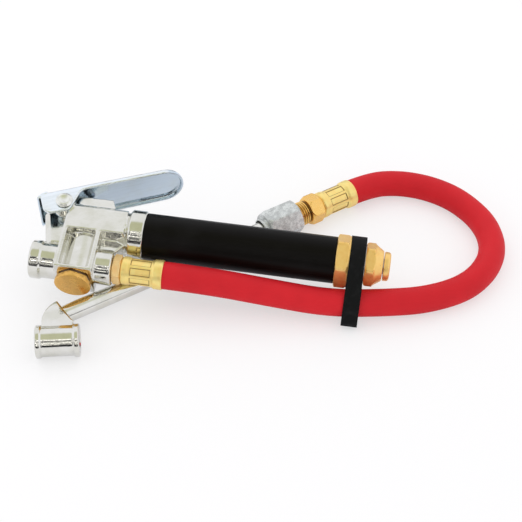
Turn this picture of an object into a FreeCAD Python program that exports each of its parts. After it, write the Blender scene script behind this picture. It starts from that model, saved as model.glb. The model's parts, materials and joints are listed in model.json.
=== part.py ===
"""Hand-held tyre inflator: a lever valve with a bar gauge in its handle, a short rubber hose and a
double-footed chuck on a rigid stem, lying on a flat floor as it is stored. Sizes are millimetres.

The gun frame has X along the handle towards its tail, Y towards the lever and Z out of the side
that faces up. The whip frame has X from the hose's far end towards the chuck. The foot frame has
X along the barrel of the chuck and Y towards its stem.
"""

import FreeCAD
import Part
import math
import os
from FreeCAD import Placement, Rotation, Vector

# How the object lies
gun_x = -65.4
gun_y = 8.5
gun_pitch = 2.95
gun_roll = 14.3
handle_crossing = 47.5
whip_x = 64.9
whip_y = 79.6
stem_heading = 40.64
lying_gap = 0.85

# Fits between pieces
press_gap = 0.05
running_gap = 0.05
loose_gap = 0.3

# Valve block
housing_half_width = 9.7
housing_half_depth = 10.5
housing_below_port = 8.8
bridge_top = 8.8
bridge_bottom = -7.0
bridge_end = 21.2
bridge_bevel = 2.5
pad_start = -5.9
pad_end = 12.0
pad_top = 14.3
pad_half_depth = 8.0
pad_run_in = 2.0
pad_run_out = 2.6
pocket_rib = 2.4
pocket_depth = 7.4
pocket_foot = 1.8
chamber_wall_radius = 12.0
chamber_wall_top = 7.3
chamber_wall_x = 1.5
lug_half_depth = 5.25
lug_corner_bevel = 2.6
lug_foot_x = -18.0
lug_reach = 10.2
lug_shoulder = 3.5
pivot_boss_radius = 5.0
pivot_boss_half = 10.8
port_drop = 22.0
inlet_end = -23.4
inlet_collar_length = 5.8
inlet_collar_radius = 9.75
inlet_boss_radius = 9.0
inlet_thread_radius = 5.72
inlet_thread_length = 12.0
inlet_way_radius = 3.0
hose_boss_end = 18.2
hose_boss_radius = 8.7
hose_thread_depth = 7.4
web_half_depth = 3.2
collar_end = 31.0
collar_wall = 2.8
collar_bevel = 2.3
collar_neck_step = 0.3
edge_round = 0.6
air_passage_radius = 2.0
gallery_radius = 1.6
gallery_x = 13.2

# Valve inside the block
chamber_radius = 5.6
chamber_top = -15.0
seat_radius = 3.0
seat_rim = 0.9
seat_height = 0.8
upper_chamber_top = 5.0
stem_radius = 2.0
stem_thin_radius = 1.5
stem_dome = 1.2
seal_section = 1.4
seal_place = 9.0
poppet_radius = 4.6
poppet_thickness = 2.2
washer_thickness = 0.9
poppet_tail = 5.0
valve_wire = 0.8
valve_spring_turns = 5
plug_thread_radius = 6.2
plug_shank = 4.8
plug_head_radius = 9.2
plug_head_thickness = 1.9
plug_hex = 15.8
plug_hex_thickness = 1.4
gasket_thickness = 0.7
gasket_radius = 7.8
valve_spring_radius = 3.1

# Lever
pivot_x = -11.8
pivot_y = 7.0
lever_angle = 23.2
lever_sheet = 1.2
lever_bend = 1.0
lever_half_width = 12.5
lever_tip_half_width = 12.0
lever_tip_corner = 9.5
lever_tip_nose = 13.5
lever_taper_start = 20.0
lever_tip = 63.0
lever_back = -11.4
lever_top = 8.1
lever_rim_drop = 3.2
lever_curl_start = 4.0
lever_curl_radius = 8.0
lever_curl_turn = 48.0
ear_bottom = -5.6
ear_corner = 4.4
ear_front = 3.4
rivet_radius = 2.05
rivet_head_radius = 4.4
rivet_head_height = 1.5
rivet_dish_radius = 1.6

# Gauge and handle
sleeve_end = 128.4
sleeve_wall = 2.0
barrel_radius = 9.9
barrel_wall = 1.9
barrel_start = 22.3
barrel_floor = 1.7
barrel_reach = 0.5
tail_ring_wall = 2.25
tail_ring_length = 6.2
tail_shoulder_wall = 3.1
tail_shoulder_length = 8.3
hex_turn = 22.0
cap_shoulder = 0.15
cap_hex_length = 4.9
cap_cone_length = 4.0
cap_nose_radius = 7.6
cap_spigot = 15.4
bar_size = 5.6
button_radius = 7.4
button_length = 3.2
button_gap = 0.5
piston_length = 5.0
cup_length = 2.4
cup_lip = 1.6
gauge_spring_radius = 5.6
gauge_wire = 1.2
gauge_spring_turns = 18

# Hose fittings
hose_radius = 7.0
hose_bore = 4.0
crimped_radius = 5.9
ferrule_length = 21.3
bell_length = 4.6
bell_radius = 7.6
crimp_flats = 13.2
shoulder_length = 3.7
shoulder_radius = 7.15
front_hex = 13.2
front_hex_length = 4.1
front_thread_radius = 5.4
front_thread_length = 7.0
back_hex = 14.3
back_hex_length = 7.8
back_thread_radius = 6.58
back_thread_root = 5.75
back_thread_length = 12.5
thread_pitch = 1.337
fitting_way_radius = 2.2

# Chuck stem, its nut and the double foot
nut_hex = 16.5
nut_start = 36.2
nut_length = 19.8
nut_lip_radius = 6.3
nut_lip_length = 2.5
nut_gasket = 1.5
tube_radius = 4.65
tube_bore = 2.6
tube_flange_radius = 6.3
tube_flange_length = 2.0
tube_end = 176.7
spigot_radius = 3.0
spigot_bore = 1.6
spigot_length = 4.6
foot_angle = 29.5
foot_length = 21.5
foot_rim_radius = 8.25
foot_body_radius = 7.5
foot_rim_width = 2.7
foot_bore = 6.0
foot_web = 2.0
foot_plate_half_depth = 6.2
foot_plate_apex = 5.2
foot_plate_corner = 10.9
foot_plate_bend = 15.9
stem_seat_x = 1.7
stem_seat_y = 17.95
mouth_radius = 4.3
mouth_ring_length = 2.4
foot_seal_length = 2.0
foot_seal_hole = 2.4
pin_radius = 1.3
pin_flange_radius = 4.6
pin_flange_length = 0.8
pin_setback = 0.5
foot_spring_radius = 3.2
foot_wire = 0.4
foot_spring_turns = 2

# Rubber band round the tail and the hose
band_setback = 0.4
band_width = 8.2
band_thickness = 1.4
band_fold_reach = 24.6
band_fold_radius = 2.4
band_slack = 0.45

# The hose's route on the floor, between its two ferrules
front_lead = 28.0
back_lead = 17.4
hose_route = [
    Vector(31.6, -11.9, 14.2),
    Vector(61.6, -11.3, 10.0),
    Vector(88.6, -5.9, 8.4),
    Vector(112.1, 1.1, 7.0),
    Vector(133.3, 14.8, 7.0),
    Vector(144.1, 38.6, 7.0),
    Vector(140.0, 62.6, 7.0),
    Vector(125.0, 81.4, 7.0),
    Vector(108.6, 90.6, 7.0),
    Vector(91.0, 93.0, 7.3),
]

# Worked out from the sizes above
barrel_bore = barrel_radius - barrel_wall
sleeve_radius = barrel_radius + sleeve_wall
collar_radius = barrel_radius + collar_wall
collar_neck_radius = barrel_radius - collar_neck_step
barrel_wall_end = barrel_start + barrel_floor
tail_ring_end = sleeve_end + tail_ring_length
tail_shoulder_radius = barrel_radius + tail_shoulder_wall
barrel_end = tail_ring_end + tail_shoulder_length + barrel_reach
tail_hex = 2 * (barrel_radius + tail_ring_wall)
cap_hex = 2 * (barrel_radius + cap_shoulder)
cap_hex_end = barrel_end + cap_hex_length
cap_cone_end = cap_hex_end + cap_cone_length
band_start = tail_ring_end + band_setback
housing_bottom = -port_drop - housing_below_port
stem_height = max(foot_rim_radius, nut_hex / 2)
handle_rise = handle_crossing * math.sin(math.radians(gun_pitch))
gun_height = stem_height + tube_radius + lying_gap + sleeve_radius + handle_rise
seat_y = chamber_top - seat_height
washer_top = seat_y - 0.1
poppet_top = washer_top - washer_thickness
poppet_bottom = poppet_top - poppet_thickness
plug_top = housing_bottom + plug_shank
plug_seat = housing_bottom - gasket_thickness
plug_well_bottom = plug_seat + 0.6
lever_under = lever_top - lever_sheet
rivet_inner = lever_half_width + loose_gap
rivet_reach = rivet_inner + rivet_head_height
spring_well_radius = plug_thread_radius - 1.6
piston_start = barrel_wall_end + loose_gap
piston_face = piston_start + cup_length + piston_length
button_start = cap_cone_end + button_gap
foot_half = foot_length / 2
ferrule_bell = ferrule_length - bell_length
crimp_length = ferrule_bell - 1.4 - press_gap
back_hex_start = ferrule_length + loose_gap
back_thread_start = back_hex_start + back_hex_length
back_thread_end = back_thread_start + back_thread_length
tube_start = back_thread_end + nut_gasket


def radians(angle):
    return math.radians(angle)


def turned(points):
    """A solid of revolution about X from (x, radius) points in order."""
    wire = Part.makePolygon([Vector(x, r, 0) for x, r in points + points[:1]])
    return Part.Face(wire).revolve(Vector(0, 0, 0), Vector(1, 0, 0), 360)


def rod(radius, start, end, y=0.0, z=0.0):
    """A cylinder along X."""
    return Part.makeCylinder(radius, end - start, Vector(start, y, z), Vector(1, 0, 0))


def tube(outer, inner, start, end):
    return rod(outer, start, end).cut(rod(inner, start - 1, end + 1))


def slab(x0, x1, y0, y1, z0, z1):
    return Part.makeBox(x1 - x0, y1 - y0, z1 - z0, Vector(x0, y0, z0))


def hexagon(across_flats, start, end, turn=0.0):
    """A six-sided bar along X, with a corner at the angle turn from +Y towards +Z."""
    corner = across_flats / math.sqrt(3)
    angles = [radians(turn + 60 * k) for k in range(7)]
    wire = Part.makePolygon([Vector(start, corner * math.cos(a), corner * math.sin(a)) for a in angles])
    return Part.Face(wire).extrude(Vector(end - start, 0, 0))


def rounded_hexagon(across_flats, start, end, bevel_start, bevel_end, turn=0.0):
    """A six-sided bar whose corners are turned down to the flats at either end."""
    corner = across_flats / math.sqrt(3)
    flat = across_flats / 2
    shape = [(start, 0), (start, flat)] if bevel_start else [(start, 0), (start, corner + 1)]
    if bevel_start:
        shape.append((start + bevel_start, corner))
    shape.append((end - bevel_end, corner) if bevel_end else (end, corner + 1))
    shape += [(end, flat), (end, 0)] if bevel_end else [(end, 0)]
    return hexagon(across_flats, start, end, turn).common(turned(shape))


def along_y(shape):
    """Turns a piece made along X so that it runs along Y."""
    return shape.transformed(Placement(Vector(0, 0, 0), Rotation(Vector(0, 0, 1), 90)).toMatrix())


def moved(shape, x=0.0, y=0.0, z=0.0):
    return shape.transformed(Placement(Vector(x, y, z), Rotation()).toMatrix())


def ring_seal(mean_radius, section, place):
    """A round-section ring about X."""
    return Part.makeTorus(mean_radius, section / 2, Vector(place, 0, 0), Vector(1, 0, 0))


def arc_middle(start, corner, end):
    """The middle of the arc that leaves start towards corner and reaches end from corner."""
    to_start = start.sub(corner)
    to_end = end.sub(corner)
    half = to_start.getAngle(to_end) / 2
    reach = to_start.Length
    bisector = to_start.add(to_end).normalize()
    return corner.add(bisector * (reach / math.cos(half) - reach * math.tan(half)))


def coil_spring(mean_radius, wire, start, end, turns):
    """A coil spring about X between two places, one unbroken wire on pairs of tangent arcs."""
    first = start + wire / 2 + 0.05
    last = end - wire / 2 - 0.05
    rise = (last - first) / (2 * math.pi * turns)
    steps = 4 * turns

    def point(k):
        angle = 2 * math.pi * turns * k / steps
        return Vector(first + rise * angle, mean_radius * math.cos(angle), mean_radius * math.sin(angle))

    def heading(k):
        angle = 2 * math.pi * turns * k / steps
        return Vector(rise, -mean_radius * math.sin(angle), mean_radius * math.cos(angle)).normalize()

    edges = []
    for k in range(steps):
        p0, p1, t0, t1 = point(k), point(k + 1), heading(k), heading(k + 1)
        v = p1.sub(p0)
        both = t0.add(t1)
        a = 2 * (1 - t0.dot(t1))
        b = 2 * v.dot(both)
        c = -v.dot(v)
        reach = (-b + math.sqrt(b * b - 4 * a * c)) / (2 * a)
        q0 = p0.add(t0 * reach)
        q1 = p1.sub(t1 * reach)
        joint = q0.add(q1) * 0.5
        edges.append(Part.Arc(p0, arc_middle(p0, q0, joint), joint).toShape())
        edges.append(Part.Arc(joint, arc_middle(joint, q1, p1), p1).toShape())
    path = Part.Wire(edges)
    circle = Part.Wire(Part.makeCircle(wire / 2, point(0), heading(0)))
    print("spring gap between turns %.2f mm" % (abs(last - first) / turns - wire))
    return path.makePipeShell([circle], True, False)


def outline(points):
    """A closed flat wire: a point is a corner, and a pair is the middle and end of an arc."""
    edges = []
    here = points[0]
    for step in points[1:]:
        if isinstance(step, tuple):
            edges.append(Part.Arc(here, step[0], step[1]).toShape())
            here = step[1]
        else:
            edges.append(Part.LineSegment(here, step).toShape())
            here = step
    if here.distanceToPoint(points[0]) > 1e-6:
        edges.append(Part.LineSegment(here, points[0]).toShape())
    return Part.Wire(edges)


gun_place = Placement(
    Vector(gun_x, gun_y, gun_height),
    Rotation(Vector(0, 1, 0), gun_pitch).multiply(Rotation(Vector(1, 0, 0), gun_roll)),
)
whip_place = Placement(Vector(whip_x, whip_y, stem_height), Rotation(Vector(0, 0, 1), stem_heading + 180))
foot_turn = Rotation(Vector(0, 0, 1), stem_heading - foot_angle)
stem_seat = whip_place.multVec(Vector(tube_end, 0, 0))
foot_place = Placement(stem_seat.sub(foot_turn.multVec(Vector(stem_seat_x, stem_seat_y, 0))), foot_turn)
stem_way = Vector(math.cos(radians(foot_angle)), math.sin(radians(foot_angle)), 0)
port_front = Vector(hose_boss_end + loose_gap + front_hex_length, -port_drop, 0)


# Valve block and the pieces inside it
def bridge_body():
    """The wide arm that carries the handle, with bevelled upper edges and the lever's pad on top."""
    half = housing_half_depth
    side = bridge_top - bridge_bevel
    section = outline(
        [
            Vector(-housing_half_width, bridge_bottom, -half),
            Vector(-housing_half_width, side, -half),
            Vector(-housing_half_width, bridge_top, -half + bridge_bevel),
            Vector(-housing_half_width, bridge_top, half - bridge_bevel),
            Vector(-housing_half_width, side, half),
            Vector(-housing_half_width, bridge_bottom, half),
        ]
    )
    arm = Part.Face(section).extrude(Vector(bridge_end + housing_half_width, 0, 0))
    pad = outline(
        [
            Vector(pad_start - pad_run_in, bridge_top - 1, -pad_half_depth),
            Vector(pad_start, pad_top, -pad_half_depth),
            Vector(pad_end, pad_top, -pad_half_depth),
            Vector(pad_end + pad_run_out, bridge_top - 1, -pad_half_depth),
        ]
    )
    return arm.fuse(Part.Face(pad).extrude(Vector(0, 0, 2 * pad_half_depth)))


def housing_body():
    """The upright valve housing: a box whose two sides are recessed round the chamber's wall."""
    half = housing_half_depth
    body = slab(-housing_half_width, housing_half_width, housing_bottom, bridge_bottom + 1, -half, half)
    for side in (1, -1):
        inner = half - pocket_depth
        middle = side * (chamber_wall_top - chamber_wall_radius)
        wall = along_y(rod(chamber_wall_radius, housing_bottom, bridge_bottom, 0, middle))
        wall = moved(wall, chamber_wall_x)
        pocket = slab(
            -housing_half_width + pocket_rib,
            housing_half_width - pocket_rib,
            housing_bottom + pocket_foot,
            bridge_bottom,
            min(side * inner, side * (half + 1)),
            max(side * inner, side * (half + 1)),
        )
        body = body.cut(pocket.cut(wall))
    return body


def lug_body():
    """The tapered lug between the lever's ears, with the boss that its rivet runs through."""
    corner = lug_half_depth - lug_corner_bevel
    upper = Vector(pivot_x - lug_reach, pivot_y - lug_shoulder, 0)
    lower = Vector(lug_foot_x, -port_drop + inlet_boss_radius - edge_round, 0)
    face = outline(
        [
            Vector(-housing_half_width + 1, lower.y, -lug_half_depth),
            Vector(lower.x, lower.y, -lug_half_depth),
            Vector(upper.x, upper.y, -lug_half_depth),
            Vector(pivot_x - 4.0, pivot_y + 4.2, -lug_half_depth),
            Vector(-housing_half_width + 1, pivot_y + 1.6, -lug_half_depth),
        ]
    )
    lug = Part.Face(face).extrude(Vector(0, 0, 2 * lug_half_depth))
    way = upper.sub(lower).normalize()
    out = Vector(-way.y, way.x, 0)
    foot = lower.sub(way * 4)
    for side in (1, -1):
        face_side = Vector(0, 0, side * (lug_half_depth + 0.1))
        front = foot.add(out * 0.1).add(Vector(0, 0, side * corner))
        beyond = foot.add(out * 0.1).add(face_side)
        inside = foot.sub(out * lug_corner_bevel).add(face_side)
        edge = Part.makePolygon([front, beyond, inside, front])
        lug = lug.cut(Part.Face(edge).extrude(way * (upper.distanceToPoint(lower) + 8)))
    boss = Part.makeCylinder(
        pivot_boss_radius, 2 * pivot_boss_half, Vector(pivot_x, pivot_y, -pivot_boss_half), Vector(0, 0, 1)
    )
    return lug.fuse(boss)


def port_bodies():
    """The inlet boss with its collar, the hose boss, the web above it and the handle's collar."""
    neck = inlet_end + inlet_collar_length
    inlet = turned(
        [
            (inlet_end, 0),
            (inlet_end, inlet_collar_radius - edge_round),
            (inlet_end + edge_round, inlet_collar_radius),
            (neck - edge_round, inlet_collar_radius),
            (neck, inlet_collar_radius - edge_round),
            (neck, inlet_boss_radius),
            (-housing_half_width + 1, inlet_boss_radius),
            (-housing_half_width + 1, 0),
        ]
    )
    outlet = turned(
        [
            (housing_half_width - 1, 0),
            (housing_half_width - 1, hose_boss_radius),
            (hose_boss_end - edge_round, hose_boss_radius),
            (hose_boss_end, hose_boss_radius - edge_round),
            (hose_boss_end, 0),
        ]
    )
    bosses = moved(inlet.fuse(outlet), 0, -port_drop)
    web = outline(
        [
            Vector(housing_half_width - 1, bridge_bottom + 1, -web_half_depth),
            Vector(bridge_end + 0.8, bridge_bottom + 1, -web_half_depth),
            Vector(bridge_end + 0.8, -9.2, -web_half_depth),
            Vector(hose_boss_end, -port_drop + hose_boss_radius - 0.4, -web_half_depth),
            Vector(housing_half_width - 1, -port_drop + hose_boss_radius - 0.4, -web_half_depth),
        ]
    )
    web = Part.Face(web).extrude(Vector(0, 0, 2 * web_half_depth))
    collar = turned(
        [
            (bridge_end - 3, 0),
            (bridge_end - 3, collar_neck_radius - 1.2),
            (bridge_end, collar_neck_radius),
            (bridge_end + collar_bevel, collar_radius),
            (collar_end - edge_round, collar_radius),
            (collar_end, collar_radius - edge_round),
            (collar_end, 0),
        ]
    )
    return bosses.fuse([web, collar])


def block_bores():
    """The inlet, valve, hose and gauge bores and the gallery that joins the last two."""
    inlet = rod(inlet_thread_radius, inlet_end - 1, inlet_end + inlet_thread_length, -port_drop)
    inlet = inlet.fuse(rod(inlet_way_radius, inlet_end, 0, -port_drop))
    outlet_start = hose_boss_end - hose_thread_depth
    outlet = rod(front_thread_radius + press_gap, outlet_start, hose_boss_end + 1, -port_drop)
    gallery = along_y(rod(gallery_radius, -port_drop, 0))
    gallery = moved(gallery, gallery_x)
    gauge = rod(barrel_radius + press_gap, barrel_start - 0.3, collar_end + 1)
    gauge = gauge.fuse(rod(air_passage_radius, 0, barrel_start))
    valve = along_y(
        rod(plug_thread_radius + press_gap, housing_bottom - 1, plug_top + 0.5)
        .fuse(tube(chamber_radius, seat_radius + seat_rim, housing_bottom - 1, chamber_top))
        .fuse(rod(chamber_radius, housing_bottom - 1, seat_y))
        .fuse(rod(seat_radius, seat_y - 1, upper_chamber_top))
        .fuse(rod(stem_radius + running_gap, 0, pad_top + 1))
        .fuse(rod(stem_radius + seal_section, seal_place - 0.85, seal_place + 0.85))
    )
    low = Vector(pivot_x, pivot_y, -rivet_reach)
    rivet = Part.makeCylinder(rivet_radius + press_gap, 2 * rivet_reach, low, Vector(0, 0, 1))
    return inlet.fuse([outlet, gallery, gauge, valve, rivet])


def valve_block():
    body = bridge_body().fuse([housing_body(), lug_body(), port_bodies()]).removeSplitter()
    return body.cut(block_bores())


def valve_stem():
    """The brass pin under the lever, with a round top and a thinner lower length."""
    lean = radians(lever_angle)
    top = pivot_y - pivot_x * math.tan(lean) + (lever_under - loose_gap) / math.cos(lean) - stem_dome / 4
    straight = top - stem_dome
    return along_y(
        turned(
            [
                (poppet_top, 0),
                (poppet_top, stem_thin_radius),
                (upper_chamber_top - 4, stem_thin_radius),
                (upper_chamber_top - 4, stem_radius),
                (straight, stem_radius),
                (top - 0.4 * stem_dome, stem_radius - 0.6),
                (top, stem_radius - 1.6),
                (top, 0),
            ]
        )
    )


def stem_seal():
    return along_y(ring_seal(stem_radius + seal_section / 2, seal_section - 2 * running_gap, seal_place))


def valve_poppet():
    """The disc that carries the rubber washer, with the tail that guides its spring."""
    return along_y(
        turned(
            [
                (poppet_bottom - poppet_tail, 0),
                (poppet_bottom - poppet_tail, 1.6),
                (poppet_bottom, 1.6),
                (poppet_bottom, poppet_radius),
                (poppet_top, poppet_radius),
                (poppet_top, 0),
            ]
        )
    )


def poppet_washer():
    return along_y(tube(seat_radius + seat_rim + 0.3, stem_thin_radius + press_gap, poppet_top, washer_top))


def valve_spring():
    coil = coil_spring(valve_spring_radius, valve_wire, plug_well_bottom, poppet_bottom, valve_spring_turns)
    return along_y(coil)


def valve_plug():
    """The brass plug under the housing: round head, short hexagon and hollow threaded shank."""
    head_top = plug_seat - plug_hex_thickness
    face = head_top - plug_head_thickness
    head = turned(
        [
            (face, 0),
            (face, plug_head_radius - 0.5),
            (face + 0.5, plug_head_radius),
            (head_top, plug_head_radius),
            (head_top, 0),
        ]
    )
    nut = hexagon(plug_hex, head_top, plug_seat, hex_turn)
    shank = rod(plug_thread_radius, plug_seat, plug_top)
    well = rod(spring_well_radius, plug_well_bottom, plug_top + 1)
    return along_y(head.fuse([nut, shank]).cut(well))


def plug_gasket():
    return along_y(tube(gasket_radius, plug_thread_radius + press_gap, plug_seat, housing_bottom))


# Lever and its rivet
def lever_plan(inset):
    """The lever seen from above, drawn in by inset, as a face below the ears."""
    low = ear_bottom - 2
    back = lever_back - (5 if inset else 0)
    half = lever_half_width - inset
    tip_half = lever_tip_half_width - inset
    corner = lever_tip_corner - inset
    nose = lever_tip_nose - inset
    tip = lever_tip - inset
    nose_x = tip - nose
    lean = math.asin((tip_half - corner) / (nose - corner))
    corner_x = nose_x + (nose - corner) * math.cos(lean)
    half_turn = (math.pi / 2 + lean) / 2
    near = []
    for side in (-1, 1):
        turn_in = Vector(corner_x, low, side * tip_half)
        bend = Vector(math.cos(half_turn), 0, side * math.sin(half_turn)) * corner
        middle = Vector(corner_x, low, side * (tip_half - corner)).add(bend)
        turn_out = Vector(nose_x + nose * math.cos(lean), low, side * nose * math.sin(lean))
        near.append((turn_in, middle, turn_out))
    return Part.Face(
        outline(
            [
                Vector(back, low, -half),
                Vector(lever_taper_start, low, -half),
                near[0][0],
                (near[0][1], near[0][2]),
                (Vector(tip, low, 0), near[1][2]),
                (near[1][1], near[1][0]),
                Vector(lever_taper_start, low, half),
                Vector(back, low, half),
            ]
        )
    )


def lever_side():
    """The lever seen from its side: two rounded ears, then rims that run on to the tip."""
    rim = lever_top - lever_rim_drop
    depth = -lever_half_width - 1
    bend = ear_corner * (1 - math.sqrt(0.5))
    ear_turn = Vector(ear_front - 1.8, ear_bottom + 0.7, depth)
    return Part.Face(
        outline(
            [
                Vector(lever_back, lever_top - 1.4, depth),
                Vector(lever_back, ear_bottom + ear_corner, depth),
                (
                    Vector(lever_back + bend, ear_bottom + bend, depth),
                    Vector(lever_back + ear_corner, ear_bottom, depth),
                ),
                Vector(ear_front - 4.6, ear_bottom, depth),
                (ear_turn, Vector(ear_front, ear_bottom + 2.4, depth)),
                Vector(ear_front + 4.6, rim - 2.4, depth),
                (Vector(ear_front + 6.5, rim - 0.6, depth), Vector(ear_front + 9.2, rim, depth)),
                Vector(lever_tip + 2, rim, depth),
                Vector(lever_tip + 2, lever_top, depth),
                Vector(lever_back + lever_curl_start, lever_top, depth),
            ]
        )
    )


def lever_curl():
    """The end of the top sheet, curled down behind the ears."""
    start = lever_back + lever_curl_start
    depth = -lever_half_width
    ends = []
    for radius in (lever_curl_radius, lever_curl_radius - lever_sheet):
        places = []
        for turn in (0.0, lever_curl_turn / 2, lever_curl_turn):
            back = radius * math.sin(radians(turn))
            drop = lever_curl_radius - radius * math.cos(radians(turn))
            places.append(Vector(start - back, lever_top - drop, depth))
        ends.append(places)
    outer, inner = ends
    curl = Part.Face(outline([outer[0], (outer[1], outer[2]), inner[2], (inner[1], inner[0])]))
    return curl.extrude(Vector(0, 0, 2 * lever_half_width))


def bent_edges(body, height):
    """The edges at one height where the lever's top turns down into its rims."""
    start = lever_back + lever_curl_start
    found = []
    for edge in body.Edges:
        box = edge.BoundBox
        level = abs(box.YMin - height) + abs(box.YMax - height) < 0.001
        if level and box.XMax > start + 0.1:
            found.append(edge)
    return found


def lever():
    """A pressed channel: the side shape cut to the plan, hollow below its top sheet."""
    height = lever_top - ear_bottom + 6
    body = lever_side().extrude(Vector(0, 0, 2 * lever_half_width + 2))
    body = body.common(lever_plan(0).extrude(Vector(0, height, 0)))
    hollow = lever_plan(lever_sheet).extrude(Vector(0, lever_under - ear_bottom + 2, 0))
    body = body.cut(hollow)
    body = body.makeFillet(lever_bend + lever_sheet, bent_edges(body, lever_top))
    body = body.makeFillet(lever_bend, bent_edges(body, lever_under))
    body = body.fuse(lever_curl())
    low = Vector(0, 0, -rivet_reach)
    hole = Part.makeCylinder(rivet_radius + running_gap, 2 * rivet_reach, low, Vector(0, 0, 1))
    body = body.cut(hole)
    turn = Placement(Vector(pivot_x, pivot_y, 0), Rotation(Vector(0, 0, 1), lever_angle))
    return body.transformed(turn.toMatrix())


def lever_rivet():
    """The rivet through both ears, with a dished round head at each end."""
    half = rivet_inner
    end = rivet_reach
    shape = turned(
        [
            (-end, 0),
            (-end + 0.5, rivet_dish_radius),
            (-end, rivet_head_radius - 1.3),
            (-half - 0.4, rivet_head_radius),
            (-half, rivet_head_radius),
            (-half, rivet_radius),
            (half, rivet_radius),
            (half, rivet_head_radius),
            (half + 0.4, rivet_head_radius),
            (end, rivet_head_radius - 1.3),
            (end - 0.5, rivet_dish_radius),
            (end, 0),
        ]
    )
    turn = Placement(Vector(pivot_x, pivot_y, 0), Rotation(Vector(0, 1, 0), -90))
    return shape.transformed(turn.toMatrix())


# Handle and gauge
def grip_sleeve():
    return tube(sleeve_radius, barrel_radius + press_gap, collar_end, sleeve_end)


def gauge_barrel():
    """The pressure tube inside the sleeve, closed at the block except for an air hole."""
    wall = rod(barrel_radius, barrel_start, barrel_end)
    return wall.cut(rod(barrel_bore, barrel_wall_end, barrel_end + 1)).cut(
        rod(air_passage_radius, barrel_start - 1, barrel_wall_end + 1)
    )


def tail_ring():
    """The six-sided ring nut that clamps the sleeve, with the round shoulder behind it."""
    shoulder = rod(tail_shoulder_radius, tail_ring_end, tail_ring_end + tail_shoulder_length)
    ring = rounded_hexagon(tail_hex, sleeve_end, tail_ring_end, 0.6, 0.6, hex_turn).fuse(shoulder)
    return ring.cut(rod(barrel_radius + press_gap, sleeve_end - 1, barrel_end))


def end_cap():
    """The tail cap: a spigot in the barrel, a hexagon, a cone and the square way for the bar."""
    flat = cap_hex / 2
    spigot_start = barrel_end - cap_spigot
    outer = hexagon(cap_hex, barrel_end, cap_cone_end, hex_turn)
    turned_outside = turned(
        [
            (barrel_end, 0),
            (barrel_end, flat + 0.4),
            (barrel_end + 0.9, flat + 1.3),
            (cap_hex_end - 0.6, flat + 1.3),
            (cap_hex_end, flat + 0.3),
            (cap_cone_end, cap_nose_radius),
            (cap_cone_end, 0),
        ]
    )
    body = outer.common(turned_outside).fuse(rod(barrel_bore - press_gap, spigot_start, barrel_end))
    way = bar_size / 2 + running_gap
    return body.cut(slab(spigot_start - 1, cap_cone_end + 1, -way, way, -way, way))


def piston_cup():
    """The rubber cup that faces the air."""
    outer = barrel_bore - running_gap
    return turned(
        [
            (piston_start, outer - cup_lip),
            (piston_start, outer),
            (piston_start + cup_length, outer),
            (piston_start + cup_length, 0),
            (piston_start + cup_length / 2, 0),
            (piston_start + cup_length / 2, outer - cup_lip - 0.6),
        ]
    )


def gauge_piston():
    start = piston_start + cup_length
    return rod(barrel_bore - 0.08, start, piston_face)


def indicator_bar():
    """The square bar that slides out of the tail and shows the pressure."""
    half = bar_size / 2
    return slab(piston_face, button_start, -half, half, -half, half)


def bar_button():
    end = button_start + button_length
    return turned(
        [
            (button_start, 0),
            (button_start, button_radius - 0.3),
            (button_start + 0.3, button_radius),
            (end - 1.1, button_radius),
            (end - 0.3, button_radius - 0.5),
            (end, button_radius - 1.3),
            (end, 0),
        ]
    )


def gauge_spring():
    end = barrel_end - cap_spigot
    return coil_spring(gauge_spring_radius, gauge_wire, piston_face, end, gauge_spring_turns)


# Hose, its ferrules and fittings
def ferrule():
    """A crimped brass ferrule from its shoulder at x = 0 to its open bell."""
    bell = ferrule_bell
    outside = turned(
        [
            (0, 0),
            (0, shoulder_radius - 0.9),
            (0.9, shoulder_radius),
            (shoulder_length - 0.6, shoulder_radius),
            (shoulder_length + 0.6, shoulder_radius - 0.35),
            (bell - 0.6, shoulder_radius - 0.35),
            (bell + 0.4, bell_radius - 0.1),
            (ferrule_length - 0.4, bell_radius),
            (ferrule_length, bell_radius - 0.3),
            (ferrule_length, 0),
        ]
    )
    pressed = []
    for k in range(8):
        half = crimp_flats / 2
        flat = slab(shoulder_length + 0.5, bell - 0.5, half, 2 * half, -half, half)
        pressed.append(flat.rotated(Vector(0, 0, 0), Vector(1, 0, 0), 45 * k))
    bore = turned(
        [
            (-1, 0),
            (-1, hose_bore + 0.3),
            (1.4, hose_bore + 0.3),
            (1.4, crimped_radius + press_gap),
            (bell, crimped_radius + press_gap),
            (bell, hose_radius + press_gap),
            (ferrule_length + 1, hose_radius + press_gap),
            (ferrule_length + 1, 0),
        ]
    )
    return outside.cut(pressed[0].multiFuse(pressed[1:])).cut(bore)


def barb(start):
    """The hollow ridged insert inside the crimped hose, from start onwards."""
    points = [(start, 0), (start, hose_bore - press_gap)]
    tooth = start + 3.0
    while tooth < start + ferrule_length - 6:
        points += [(tooth, hose_bore - press_gap), (tooth + 0.02, hose_bore - 0.4)]
        points += [(tooth + 2.6, hose_bore - press_gap)]
        tooth += 2.62
    points += [(tooth + 0.6, hose_bore - 0.7), (tooth + 0.6, 0)]
    return turned(points)


def front_fitting():
    """Threaded end, hexagon and barb between the block and the hose, at x = 0 on its hexagon's end."""
    hex_start = -front_hex_length
    thread_start = hex_start - loose_gap - front_thread_length
    body = rod(front_thread_radius, thread_start, hex_start).fuse(
        [rounded_hexagon(front_hex, hex_start, 0, 0.5, 0.5, hex_turn + 10), barb(-0.5)]
    )
    return body.cut(rod(fitting_way_radius, thread_start - 1, ferrule_length))


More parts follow.
